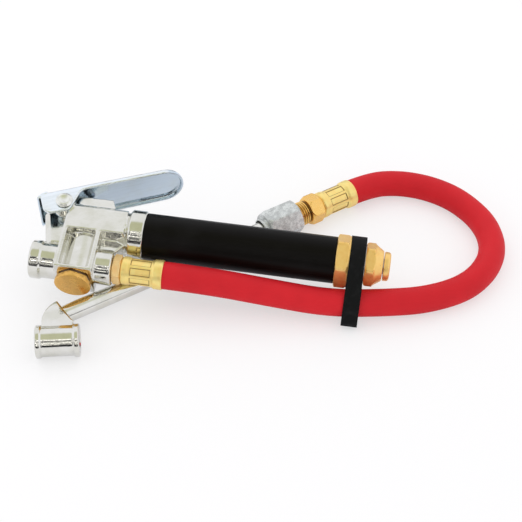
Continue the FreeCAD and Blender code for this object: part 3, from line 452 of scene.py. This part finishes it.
def black_plastic(name, colour):
    """Satin black sleeve: faint orange peel, hairline scuffs along it and a dusty haze."""
    made, g = material(name)
    place = g.place()
    peel = g.noise(place, 1100.0)
    scuff = g.spread(g.noise(g.stretched(place, (50.0, 2400.0, 2400.0)), 1.0), 0.62, 0.72)
    haze = g.spread(g.noise(place, 60.0, 3.0), 0.45, 0.75)
    shade = g.blend(haze * 0.25 + scuff * 0.2, colour, (0.014, 0.0135, 0.013))
    rough = 0.36 + 0.10 * haze + 0.12 * scuff
    normal = g.bump(peel - 0.4 * scuff, 0.12, 0.08 * MM)
    g.shine(Base_Color=shade, Roughness=rough, Specular_IOR_Level=0.09, Normal=normal)
    return made


def black_rubber(name, colour, rough):
    """Moulded rubber with a talc bloom and a fine grain."""
    made, g = material(name)
    place = g.place()
    grain = g.noise(place, 2800.0, 3.0, 0.6)
    bloom = g.spread(g.noise(place, 240.0, 3.0, 0.6), 0.5, 0.8)
    shade = g.blend(bloom * 0.3, colour, (0.028, 0.028, 0.028))
    normal = g.bump(grain + 0.6 * bloom, 0.3, 0.09 * MM)
    dull = rough + 0.15 * grain
    g.shine(Base_Color=shade, Roughness=dull, Specular_IOR_Level=0.14, Normal=normal)
    return made


def fibre(name, colour):
    """Pressed fibre of a gasket."""
    made, g = material(name)
    thread = g.noise(g.place(), 2200.0, 3.0, 0.7, 0.6)
    shade = g.blend(g.spread(thread, 0.3, 0.7), tinted(colour, 0.6), colour)
    g.shine(Base_Color=shade, Roughness=0.7 + 0.2 * thread, Normal=g.bump(thread, 0.4, 0.1 * MM))
    return made


def drawn_steel(name, colour):
    """Drawn wire and ground pins: fine lines and a little oil."""
    made, g = material(name)
    place = g.place()
    line = g.noise(place, 3000.0, 3.0, 0.6)
    oil = g.spread(g.noise(place, 300.0), 0.45, 0.7)
    shade = g.blend(oil, colour, tinted(colour, 0.8))
    rough = 0.2 + 0.15 * line + 0.05 * oil
    normal = g.bump(line, 0.2, 0.05 * MM, 0.1 * MM)
    g.shine(Base_Color=shade, Metallic=1.0, Roughness=rough, Normal=normal)
    return made


# Meshes
class Panels(NamedTuple):
    """Panels crimped into a ferrule, between start and end; the first is turned by so many degrees.

    Each panel takes a share of its own part of the way round.
    """

    count: int
    depth: float
    share: float
    turn: float
    start: float
    end: float


def soft_min(first, second, softness):
    """The smaller of two numbers, rounded off where they meet."""
    share = max(softness - abs(first - second), 0.0) / softness
    return min(first, second) - share * share * softness / 4


def side_reach(angle, across, count, turn, softness):
    """How far a many-sided bar reaches from its axis in one direction, with a corner at turn."""
    step = math.tau / count
    past = (angle - turn) % step
    shifts = (-step / 2, step / 2, -1.5 * step)
    reach = [across / 2 / max(math.cos(past + shift), 0.05) for shift in shifts]
    return soft_min(reach[0], min(reach[1], reach[2]), softness)


def rounded(section, radius, parts=4):
    """A closed section of (x, r) points with its corners rounded, apart from those on the axis.

    A corner takes at most two fifths of the edges beside it.
    """
    made = []
    for k, corner in enumerate(section):
        here = Vector(corner)
        back = Vector(section[k - 1]) - here
        ahead = Vector(section[(k + 1) % len(section)]) - here
        cut = min(radius, 0.4 * back.length, 0.4 * ahead.length)
        if here.y < 1e-6 or cut < 0.02:
            made.append(here)
            continue
        start = here + back.normalized() * cut
        end = here + ahead.normalized() * cut
        for j in range(parts + 1):
            t = j / parts
            made.append(start * (1 - t) ** 2 + here * 2 * t * (1 - t) + end * t**2)
    return made


def divided(points, step):
    """The same closed line of points with no edge longer than step."""
    made = []
    for here, after in zip(points, points[1:] + points[:1]):
        parts = max(1, math.ceil((after - here).length / step))
        made += [here.lerp(after, j / parts) for j in range(parts)]
    return made


def close_rows(bm, rows):
    """Faces between rows of vertices, round both ways as on a ring."""
    for row, after in zip(rows, rows[1:] + rows[:1]):
        for j in range(len(row)):
            n = (j + 1) % len(row)
            bm.faces.new((row[j], after[j], after[n], row[n]))


def finished(bm, name):
    """The mesh of a closed bmesh, facing outwards and smooth."""
    bmesh.ops.recalc_face_normals(bm, faces=bm.faces)
    for face in bm.faces:
        face.smooth = True
    made = bpy.data.meshes.new(name)
    bm.to_mesh(made)
    bm.free()
    return made


class Turning:
    """A turned piece: a closed section about X, with sides, a thread or a square way cut in it."""

    PANEL_FLANK = 0.05  # width of a panel's side slopes, as a share of its part of the way round
    PANEL_RAMP = 0.45  # length of its end slopes
    BORE = 6.4  # points nearer the axis than this belong to a ferrule's bore, and aren't pressed
    CREST_SLOPE = 2.3  # at 2 a thread's flanks meet at its root, and above 2 the root is flat
    CREST_POWER = 0.8  # below 1 for a fuller crest
    ON_SURFACE = 0.05  # points as near as this to the thread's radius are on its surface

    def __init__(self, section, softness, step, segments):
        self.section = divided(rounded(section, softness), step)
        self.segments = segments
        self.softness = softness
        self.sides = self.thread = self.way = self.panels = None

    def cut_sides(self, across, turn, start, end, count=6):
        """Cuts flats between start and end; the first corner is at turn, in degrees."""
        self.sides = (across, count, math.radians(turn), start, end)

    def cut_thread(self, radius, depth, pitch, start, end, sense=1):
        """Cuts a thread in a surface of that radius, outwards, or inwards where sense is -1."""
        self.thread = (radius, depth, pitch, start, end, sense)

    def press_panels(self, panels):
        self.panels = panels

    def cut_square_way(self, across, within):
        """Makes the bore square where the section is within a radius."""
        self.way = (across, within)

    def panel_depth(self, x, angle):
        panels = self.panels
        past = abs((angle - math.radians(panels.turn)) * panels.count / math.tau % 1.0 - 0.5)
        flank = min(max((panels.share / 2 - past) / self.PANEL_FLANK, 0.0), 1.0)
        ramp = min(max(min(x - panels.start, panels.end - x) / self.PANEL_RAMP, 0.0), 1.0)
        return panels.depth * flank * ramp

    def thread_height(self, x, r, angle):
        radius, depth, pitch, start, end, sense = self.thread
        if not start < x < end or abs(r - radius) >= self.ON_SURFACE:
            return 0.0
        phase = ((x - start) / pitch - angle / math.tau) % 1.0
        crest = max(0.0, 1 - abs(phase - 0.5) * self.CREST_SLOPE) ** self.CREST_POWER
        fade = min(1.0, (x - start) / pitch, (end - x) / pitch)
        return sense * depth * crest * fade

    def reach(self, x, r, angle):
        """The radius at a point of the section, in one direction."""
        if self.sides:
            across, count, turn, start, end = self.sides
            if start <= x <= end:
                side = side_reach(angle, across, count, turn, self.softness)
                r = soft_min(r, side, self.softness)
        if self.way:
            across, within = self.way
            if 0 < r < within:
                r = side_reach(angle, across, count=4, turn=math.radians(45), softness=0.05)
        if self.panels and r > self.BORE:
            r -= self.panel_depth(x, angle)
        if self.thread:
            r += self.thread_height(x, r, angle)
        return r

    def mesh(self, name):
        bm = bmesh.new()
        rows = []
        first = self.sides[2] if self.sides else 0.0
        for k in range(self.segments):
            angle = first + math.tau * k / self.segments
            row = []
            for x, r in self.section:
                reach = self.reach(x, r, angle) * MM
                point = (x * MM, reach * math.cos(angle), reach * math.sin(angle))
                row.append(bm.verts.new(point))
            rows.append(row)
        close_rows(bm, rows)
        bmesh.ops.remove_doubles(bm, verts=bm.verts, dist=1e-7)
        bmesh.ops.dissolve_degenerate(bm, edges=bm.edges, dist=1e-8)
        return finished(bm, name)


# Objects
def put_in(name, data):
    """A new object in the scene."""
    made = bpy.data.objects.new(name, data)
    bpy.context.scene.collection.objects.link(made)
    return made


def worked_out(worker):
    """The mesh of a working object with its modifiers applied; the object goes."""
    view = bpy.context.evaluated_depsgraph_get()
    made = bpy.data.meshes.new_from_object(worker.evaluated_get(view))
    bpy.data.objects.remove(worker)
    return made


def softened(node, skin, rounds, before=None):
    """A CAD node's mesh with an even skin and its edges rubbed round, as a casting's are."""
    bm = bmesh.new()
    bm.from_mesh(frame["nodes"][node].data)
    bmesh.ops.remove_doubles(bm, verts=bm.verts, dist=1e-6)
    if before:
        before(bm)
    sharp = bpy.data.meshes.new(node + "_sharp")
    bm.to_mesh(sharp)
    bm.free()
    worker = put_in(node + "_worker", sharp)
    even = worker.modifiers.new("Even skin", "REMESH")
    even.mode = "VOXEL"
    even.voxel_size = skin
    rub = worker.modifiers.new("Rubbed edges", "SMOOTH")
    rub.factor = 0.5
    rub.iterations = rounds
    made = worked_out(worker)
    bpy.data.meshes.remove(sharp)
    for face in made.polygons:
        face.use_smooth = True
    made.materials.clear()
    return made


def add_piece(name, data, finish, nodes=(), place=None, body="root"):
    """Puts a piece in the scene in its finish, on its body, in the place of CAD nodes."""
    piece = put_in(name, data)
    if place is not None:
        piece.matrix_world = place
    data.materials.append(finish)
    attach(piece, body)
    if nodes:
        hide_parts(*nodes)
    return piece


def add_turned(name, turning, finish, nodes, place, body="root"):
    return add_piece(name, turning.mesh(name), finish, nodes, place, body)


def add_coil(node, joint_name, finish):
    """A spring like the frame's own, in place of its node; the share it would keep at full travel
    is worked out, but nothing shortens it as its joint moves.
    """
    joint = next(j for j in frame["joints"] if j["name"] == joint_name)
    way = Vector(joint["axis"])
    data = frame["nodes"][node].data.copy()
    data.materials.clear()
    coil = add_piece(node + "_coil", data, finish, [node])
    along = [vertex.co.dot(way) for vertex in data.vertices]
    keep = 1 - joint["range_m"][1] / (max(along) - min(along))
    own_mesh(coil)


def finish_node(node, finish):
    """Gives a CAD node that stays in view its finish."""
    data = frame["nodes"][node].data
    data.materials.clear()
    data.materials.append(finish)


# Camera and hose come first
class INFLATOR_OT_camera(bpy.types.Operator):
    """Sets the camera at the photograph's view"""

    bl_idname = "inflator.camera"
    bl_label = "Camera"

    def execute(self, context):
        data = bpy.data.cameras.new("camera")
        data.lens = 96.55
        data.sensor_width = 36.0
        data.clip_start = 0.05
        data.clip_end = 10.0
        camera = put_in("camera", data)
        camera.location = Vector((93.9, -519.1, 495.6)) * MM
        camera.rotation_mode = "QUATERNION"
        camera.rotation_quaternion = Vector((-0.0966, 0.7368, -0.6691)).to_track_quat("-Z", "Y")
        context.scene.camera = camera
        return {"FINISHED"}


def hose_points():
    """The hose's route in metres, from the front ferrule's bell to the back one's."""
    bell_back = FERRULE_LENGTH - FERRULE_BELL
    front = [PORT @ Vector((x * MM, 0, 0)) for x in (FERRULE_BELL, FERRULE_BELL + LEAD_FRONT)]
    back = [WHIP @ Vector((x * MM, 0, 0)) for x in (bell_back - LEAD_BACK, bell_back)]
    return front + [Vector(point) * MM for point in HOSE_ROUTE] + back


def hose_curve(name, radius):
    """The hose as one smooth line, round in section."""
    curve = bpy.data.curves.new(name, "CURVE")
    curve.dimensions = "3D"
    curve.resolution_u = 14
    curve.bevel_depth = radius
    curve.bevel_resolution = 9
    curve.use_fill_caps = radius > 0
    spline = curve.splines.new("NURBS")
    points = hose_points()
    spline.points.add(len(points) - 1)
    for knot, point in zip(spline.points, points):
        knot.co = (*point, 1.0)
    spline.order_u = 3
    spline.use_endpoint_u = True
    return curve


def hose_middle_line():
    """Points along the hose's smooth line."""
    line = worked_out(put_in("hose_line", hose_curve("hose_line", 0.0)))
    points = [vertex.co.copy() for vertex in line.vertices]
    bpy.data.meshes.remove(line)
    return points


class INFLATOR_OT_hose(bpy.types.Operator):
    """Lays the red rubber hose between its two ferrules"""

    bl_idname = "inflator.hose"
    bl_label = "Hose"

    def execute(self, context):
        sizes, finishes = context.scene.inflator_sizes, context.scene.inflator_finishes
        rubber = hose_rubber("red hose rubber", finishes.hose)
        curve = hose_curve("air_hose", sizes.hose_radius)
        add_piece("air_hose", curve, rubber, ["hose"])
        return {"FINISHED"}


class INFLATOR_OT_fittings(bpy.types.Operator):
    """Turns the ferrules, the hose's far fitting, the nut and the stem"""

    bl_idname = "inflator.fittings"
    bl_label = "Fittings and stem"

    def execute(self, context):
        sizes, finishes = context.scene.inflator_sizes, context.scene.inflator_finishes
        peach = linear(255, 212, 144)
        pale = brass(
            "hexagon brass",
            peach,
            (0.32, 0.44),
            marks=1.0,
            tarnish=0.12,
            metallic=0.7,
            soft_edge=0.25 * MM,
        )
        finish_node("front_fitting", pale)
        gold = finishes.gold
        self.ferrule("ferrule_front", "front_ferrule", gold, turn=12, place=PORT)
        ferrule = self.ferrule("ferrule_back", "back_ferrule", gold, turn=30, place=FERRULE_BACK)
        fitting = self.fitting(sizes.thread_depth / MM, sizes.thread_pitch / MM)

        nut = Turning(NUT_SECTION, softness=0.35, step=0.4, segments=180)
        nut.cut_sides(across=16.5, turn=0, start=34.0, end=56.05)
        zinc = zinc_cast("zinc nut", finishes.nut)
        add_turned("stem_nut", nut, zinc, ["chuck_nut"], WHIP)

        stem = Turning(STEM_SECTION, softness=0.15, step=2.0, segments=96)
        plated = chrome("chromed tube", finishes.chrome, ripple=0.45)
        add_turned("stem_tube", stem, plated, ["chuck_stem"], WHIP)

        line = hose_middle_line()
        return {"FINISHED"}

    def ferrule(self, name, node, colour, turn, place):
        panels = Panels(count=8, depth=0.42, share=0.74, turn=turn, start=4.9, end=15.4)
        gold = brass(
            name + " brass",
            colour,
            (0.27, 0.38),
            marks=0.2,
            tarnish=0.08,
            metallic=0.66,
            panels=panels,
        )
        crimped = Turning(FERRULE_SECTION, softness=0.3, step=0.22, segments=240)
        crimped.press_panels(panels)
        return add_turned(name, crimped, gold, [node], place)

    def fitting(self, depth, pitch):
        turned = Turning(FITTING_SECTION, softness=0.25, step=0.13, segments=180)
        turned.cut_sides(across=14.3, turn=12, start=21.0, end=29.42)
        turned.cut_thread(radius=5.75, depth=depth, pitch=pitch, start=29.9, end=41.6)
        yellow = linear(250, 200, 112)
        finish = brass(
            "thread brass", yellow, (0.16, 0.28), marks=0.4, tarnish=0.2, groove=5.98 * MM
        )
        nodes = ["back_fitting"]
        return add_turned("threaded_fitting", turned, finish, nodes, WHIP)


# Castings
def open_inlet(bm):
    """Widens the inlet's bore to the roots of its thread."""
    start, end = -23.5 * MM, -11.3 * MM
    low, high, roots = 5.6 * MM, 5.8 * MM, 6.6 * MM
    away = INLET.inverted()
    for vertex in bm.verts:
        local = away @ vertex.co
        around = math.hypot(local.y, local.z)
        if start < local.x < end and low < around < high:
            grown = roots / around
            vertex.co = INLET @ Vector((local.x, local.y * grown, local.z * grown))


class INFLATOR_OT_block(bpy.types.Operator):
    """Casts the valve block, with the thread in its inlet, the plug and the rivet"""

    bl_idname = "inflator.block"
    bl_label = "Valve block"

    def execute(self, context):
        sizes, finishes = context.scene.inflator_sizes, context.scene.inflator_finishes
        plated = chrome("chromed casting", finishes.chrome)
        mesh = softened("valve_block", sizes.casting_skin, sizes.casting_rounds, open_inlet)
        add_piece("valve_casting", mesh, plated, ["valve_block"])

        depth, pitch = sizes.thread_depth / MM, sizes.thread_pitch / MM
        lining = Turning(INLET_SECTION, softness=0.1, step=0.13, segments=144)
        lining.cut_thread(radius=6.52, depth=depth, pitch=pitch, start=-22.6, end=-11.6, sense=-1)
        add_turned("inlet_thread", lining, plated, (), INLET)

        plug = Turning(PLUG_SECTION, softness=0.45, step=0.6, segments=144)
        plug.cut_sides(across=15.8, turn=22, start=-32.87, end=-31.4)
        amber = linear(234, 182, 98)
        dull = brass("plug brass", amber, (0.22, 0.36), marks=0.3, tarnish=0.3)
        add_turned("bottom_plug", plug, dull, ["valve_plug"], PLUG)

        rivet = Turning(RIVET_SECTION, softness=0.5, step=0.4, segments=96)
        steel = drawn_steel("rivet steel", linear(240, 241, 234))
        add_turned("lever_pin", rivet, steel, ["lever_rivet"], RIVET)
        return {"FINISHED"}


class INFLATOR_OT_foot(bpy.types.Operator):
    """Casts the double foot that fits over a tyre's valve"""

    bl_idname = "inflator.foot"
    bl_label = "Double foot"

    def execute(self, context):
        sizes, finishes = context.scene.inflator_sizes, context.scene.inflator_finishes
        plated = chrome("chromed foot", finishes.chrome)
        mesh = softened("chuck_head", sizes.casting_skin * 0.75, sizes.casting_rounds)
        add_piece("foot_casting", mesh, plated, ["chuck_head"])
        for node in ("mouth_ring_front", "mouth_ring_rear"):
            finish_node(node, plated)
        return {"FINISHED"}


class INFLATOR_OT_lever(bpy.types.Operator):
    """Presses the lever from its sheet"""

    bl_idname = "inflator.lever"
    bl_label = "Lever"

    def execute(self, context):
        sizes, finishes = context.scene.inflator_sizes, context.scene.inflator_finishes
        sheet = zinc_sheet("zinc plated sheet", finishes.zinc, finishes.zinc_hollow_shade)
        mesh = softened("lever", sizes.casting_skin * 0.8, rounds=4)
        mesh.transform(LEVER.inverted())
        add_piece("lever_sheet", mesh, sheet, ["lever"], LEVER, "lever")
        return {"FINISHED"}


# Handle
class INFLATOR_OT_handle(bpy.types.Operator):
    """Fits the sleeve, the tail's ring and cap, and the gauge's button"""

    bl_idname = "inflator.handle"
    bl_label = "Handle and tail"

    def execute(self, context):
        finishes = context.scene.inflator_finishes
        grip = black_plastic("black sleeve", finishes.grip)
        tail = brass(
            "tail brass", finishes.brass, (0.27, 0.38), marks=0.2, tarnish=0.18, metallic=0.72
        )

        sleeve = Turning(SLEEVE_SECTION, softness=0.4, step=4.0, segments=144)
        add_turned("handle_sleeve", sleeve, grip, ["grip_sleeve"], GUN)

        ring = Turning(RING_SECTION, softness=0.5, step=0.5, segments=180)
        ring.cut_sides(across=24.3, turn=22, start=128.3, end=134.55)
        add_turned("tail_nut", ring, tail, ["tail_ring"], GUN)

        cap = Turning(CAP_SECTION, softness=0.45, step=0.5, segments=180)
        cap.cut_sides(across=20.1, turn=22, start=143.3, end=153)
        cap.cut_square_way(across=5.7, within=3.6)
        add_turned("tail_cap", cap, tail, ["end_cap"], GUN)

        button = Turning(BUTTON_SECTION, softness=0.35, step=0.4, segments=144)
        add_turned("gauge_button", button, tail, ["bar_button"], GUN, "gauge")
        return {"FINISHED"}


# Rubber band
def belt(circles, extra):
    """A closed line stretched round (y, z, r) circles with their radii enlarged, as points."""
    straight_step, round_step = 0.8, 0.5
    following = circles[1:] + circles[:1]
    legs = []
    for (y0, z0, r0), (y1, z1, r1) in zip(circles, following):
        gap = math.hypot(y1 - y0, z1 - z0)
        lean = math.atan2(z1 - z0, y1 - y0) - math.pi / 2 + math.asin((r0 - r1) / gap)
        out = Vector((math.cos(lean), math.sin(lean)))
        ends = Vector((y0, z0)) + out * (r0 + extra), Vector((y1, z1)) + out * (r1 + extra)
        legs.append((*ends, lean))
    points = []
    for (start, end, lean), after, (y, z, r) in zip(legs, legs[1:] + legs[:1], following):
        parts = max(1, round((end - start).length / straight_step))
        points += [start.lerp(end, j / parts) for j in range(parts)]
        sweep = (after[2] - lean) % math.tau
        parts = max(3, round(sweep * (r + extra) / round_step))
        for j in range(parts):
            angle = lean + sweep * j / parts
            out = Vector((math.cos(angle), math.sin(angle)))
            points.append(Vector((y, z)) + out * (r + extra))
    return points


def band_section(width, thickness):
    """The band's rounded section as (across, outwards) points about its middle."""
    off_axis = 9.0
    low, high = off_axis - thickness / 2, off_axis + thickness / 2
    half = width / 2
    corners = [(-half, high), (half, high), (half, low), (-half, low)]
    section = divided(rounded(corners, radius=0.3, parts=3), step=0.8)
    return [(point.x, point.y - off_axis) for point in section]


def band_circles(middle, hose_radius, thickness):
    """What the band is stretched round, in the gun's frame: the tail, the hose and its own fold."""
    away = GUN.inverted()
    line = [(away @ point) / MM for point in hose_middle_line()]
    crossing = [
        a.lerp(b, (middle - a.x) / (b.x - a.x))
        for a, b in zip(line, line[1:])
        if (a.x - middle) * (b.x - middle) <= 0
    ]
    hose = min(crossing, key=lambda point: math.hypot(point.y, point.z))
    tail = GUN @ Vector((middle * MM, 0, 0))
    low = (BAND_FOLD + thickness + BAND_OFF_FLOOR) * MM
    fold = away @ Vector((tail.x, tail.y - BAND_REACH * MM, low)) / MM
    hose_circle = (hose.y, hose.z, hose_radius + BAND_OFF_HOSE)
    return [(0.0, 0.0, BAND_SEAT), hose_circle, (fold.y, fold.z, BAND_FOLD), hose_circle]


class INFLATOR_OT_band(bpy.types.Operator):
    """Stretches the rubber band round the tail and the hose"""

    bl_idname = "inflator.band"
    bl_label = "Rubber band"

    TAIL = 13.0  # radius of the tail
    STRETCHED = 0.05  # how much narrower the band is over it, as a share
    FADE = 6.0  # distance from the tail's surface at which it has its full width
    SWAY = 0.18  # how far it wanders along the tail
    WANDER = 0.11  # wanderings in a millimetre

    def execute(self, context):
        sizes, finishes = context.scene.inflator_sizes, context.scene.inflator_finishes
        width, thickness = sizes.band_width / MM, sizes.band_thickness / MM
        middle = BAND_START + width / 2
        circles = band_circles(middle, sizes.hose_radius / MM, thickness)
        section = band_section(width, thickness)
        bm = bmesh.new()
        rows = []
        for inner, outer in zip(belt(circles, 0.0), belt(circles, thickness)):
            point, out = (inner + outer) / 2, (outer - inner).normalized()
            near = max(0.0, 1 - abs(math.hypot(point.x, point.y) - self.TAIL) / self.FADE)
            sway = self.SWAY * noise.noise(Vector((point.x, point.y, 3.0)) * self.WANDER)
            row = []
            for x, rise in section:
                at = point + out * rise
                along = middle + sway + x * (1.0 - self.STRETCHED * near)
                row.append(bm.verts.new(GUN @ (Vector((along, at.x, at.y)) * MM)))
            rows.append(row)
        close_rows(bm, rows)
        rubber = black_rubber("band rubber", finishes.band, rough=0.55)
        add_piece("tie_band", finished(bm, "tie_band"), rubber, ["rubber_band"])
        return {"FINISHED"}


class INFLATOR_OT_inner(bpy.types.Operator):
    """Finishes the pieces that work inside"""

    bl_idname = "inflator.inner"
    bl_label = "Inner pieces"

    def execute(self, context):
        colour = context.scene.inflator_finishes.brass
        steel = drawn_steel("spring steel", linear(176, 178, 182))
        turned = brass(
            "inner brass", colour, (0.2, 0.32), marks=0.6, tarnish=0.2, soft_edge=0.15 * MM
        )
        alloy = drawn_steel("drawn aluminium", linear(214, 216, 219))
        seal = black_rubber("seal rubber", linear(30, 30, 31), rough=0.4)
        gasket = fibre("brown fibre", linear(128, 98, 70))
        for finish, nodes in (
            (steel, ("valve_stem",)),
            (turned, ("valve_poppet", "gauge_piston", "foot_pin_front", "foot_pin_rear")),
            (alloy, ("gauge_barrel", "indicator_bar")),
            (seal, ("stem_seal", "poppet_washer", "piston_cup", "nut_washer")),
            (seal, ("foot_seal_front", "foot_seal_rear")),
            (gasket, ("plug_gasket",)),
        ):
            for node in nodes:
                finish_node(node, finish)
        for node, joint in (
            ("valve_spring", "valve_stroke"),
            ("gauge_spring", "gauge_slide"),
            ("foot_spring_front", "foot_pin_front_slide"),
            ("foot_spring_rear", "foot_pin_rear_slide"),
        ):
            add_coil(node, joint, steel)
        return {"FINISHED"}


# Studio
class INFLATOR_OT_stage(bpy.types.Operator):
    """Lays the pale floor and sets the soft light"""

    bl_idname = "inflator.stage"
    bl_label = "Studio"

    def execute(self, context):
        studio = context.scene.inflator_studio
        self.floor(studio.floor)
        self.room(context.scene, studio.sky)
        key_place, fill_place = Vector((-0.20, 0.62, 0.85)), Vector((-0.75, -0.25, 0.55))
        self.lamp("key lamp", key_place, size=0.9, power=studio.key_power)
        self.lamp("fill lamp", fill_place, size=0.5, power=studio.fill_power)
        context.scene.view_settings.view_transform = "Standard"
        return {"FINISHED"}

    def floor(self, colour):
        """A matt floor that takes shadows, and glows for the camera and in mirrored rays."""
        seen_glow, mirrored_glow = 0.56, 0.4
        bm = bmesh.new()
        bmesh.ops.create_grid(bm, x_segments=8, y_segments=8, size=1.6)
        mesh = bpy.data.meshes.new("floor")
        bm.to_mesh(mesh)
        bm.free()
        put_in("floor", mesh)
        made, g = material("pale floor")
        seen = g.ray("Camera")
        share = seen * seen_glow + (g.ray("Glossy") + g.ray("Transmission")) * mirrored_glow
        glow = g.blend(seen, (0.80, 0.81, 0.88), (1.0, 1.0, 1.0))
        plain = g.add("ShaderNodeBsdfDiffuse", {}, {"Color": (*colour, 1.0)})
        white = g.add("ShaderNodeEmission", {}, {"Color": glow, "Strength": 1.0})
        mixed = g.add("ShaderNodeMixShader", {}, {0: share, 1: plain, 2: white})
        g.add("ShaderNodeOutputMaterial", {}, {"Surface": mixed})
        mesh.materials.append(made)

    def room(self, scene, strength):
        """Even light from all round; polished pieces mirror a pale room with things in front."""
        world = bpy.data.worlds.new("studio room")
        scene.world = world
        g = Graph(world)
        way = g.add("ShaderNodeTexCoord", {}, {}, "Generated")
        up, forward = g.axis(way, 2), g.axis(way, 1)

        # Bluish white walls and a warmer ceiling
        overhead = g.vector_maths("DOT_PRODUCT", way, (0.0, -0.17, 0.985), output="Value")
        shade = g.blend(g.spread(overhead, 0.84, 0.955), (0.95, 0.955, 1.0), (0.60, 0.61, 0.43))

        # Dark things and lit gaps in front, thinner near the floor, and a dark edge far behind
        clutter = g.spread(g.noise(way, 13.0, 3.0) - 0.2 * g.spread(up, 0.3, 0.08), 0.47, 0.6)
        things = g.blend(clutter, (0.03, 0.03, 0.035), (2.1, 2.07, 2.0))
        in_front = g.spread(0 - forward, 0.47, 0.58) * g.spread(up, -0.02, 0.04)
        shade = g.blend(in_front, shade, things)
        far_edge = g.spread(forward, 0.90, 0.94) * g.spread(up, 0.22, 0.17)
        shade = g.blend(far_edge, shade, (0.04, 0.04, 0.05))

        shade = g.blend(g.ray("Glossy"), (strength, strength, strength), shade)
        room = g.add("ShaderNodeBackground", {}, {"Color": shade, "Strength": 1.0})
        white = g.add("ShaderNodeBackground", {}, {"Color": (1.0, 1.0, 1.0, 1.0), "Strength": 1.0})
        mixed = g.add("ShaderNodeMixShader", {}, {0: g.ray("Camera"), 1: room, 2: white})
        g.add("ShaderNodeOutputWorld", {}, {"Surface": mixed})

    def lamp(self, name, place, size, power):
        """A square lamp that points at the object and isn't mirrored."""
        target = Vector((0.02, 0.02, 0.02))
        data = bpy.data.lights.new(name, "AREA")
        data.shape = "SQUARE"
        data.size = size
        data.energy = power
        lamp = put_in(name, data)
        lamp.visible_glossy = False
        lamp.location = place
        lamp.rotation_mode = "QUATERNION"
        lamp.rotation_quaternion = (target - place).to_track_quat("-Z", "Y")


STEPS = (
    INFLATOR_OT_camera,
    INFLATOR_OT_hose,
    INFLATOR_OT_fittings,
    INFLATOR_OT_block,
    INFLATOR_OT_foot,
    INFLATOR_OT_lever,
    INFLATOR_OT_handle,
    INFLATOR_OT_band,
    INFLATOR_OT_inner,
    INFLATOR_OT_stage,
)


class INFLATOR_PT_panel(bpy.types.Panel):
    """Sizes, finishes and steps of the inflator"""

    bl_idname = "INFLATOR_PT_panel"
    bl_label = "Tyre inflator"
    bl_space_type = "VIEW_3D"
    bl_region_type = "UI"
    bl_category = "Inflator"

    def draw(self, context):
        scene, layout = context.scene, self.layout
        for group in (scene.inflator_sizes, scene.inflator_finishes, scene.inflator_studio):
            box = layout.box()
            for name in group.__annotations__:
                box.prop(group, name)
        for step in STEPS:
            layout.operator(step.bl_idname)


CLASSES = (InflatorSizes, InflatorFinishes, InflatorStudio, *STEPS, INFLATOR_PT_panel)


def register():
    for item in CLASSES:
        bpy.utils.register_class(item)
    bpy.types.Scene.inflator_sizes = PointerProperty(type=InflatorSizes)
    bpy.types.Scene.inflator_finishes = PointerProperty(type=InflatorFinishes)
    bpy.types.Scene.inflator_studio = PointerProperty(type=InflatorStudio)


def unregister():
    del bpy.types.Scene.inflator_studio
    del bpy.types.Scene.inflator_finishes
    del bpy.types.Scene.inflator_sizes
    for item in reversed(CLASSES):
        bpy.utils.unregister_class(item)


def main():
    register()
    bpy.ops.inflator.camera()
    bpy.ops.inflator.hose()
    bpy.ops.inflator.fittings()
    bpy.ops.inflator.block()
    bpy.ops.inflator.foot()
    bpy.ops.inflator.lever()
    bpy.ops.inflator.handle()
    bpy.ops.inflator.band()
    bpy.ops.inflator.inner()
    bpy.ops.inflator.stage()
    bpy.context.view_layer.update()


if __name__ == "__main__":
    main()
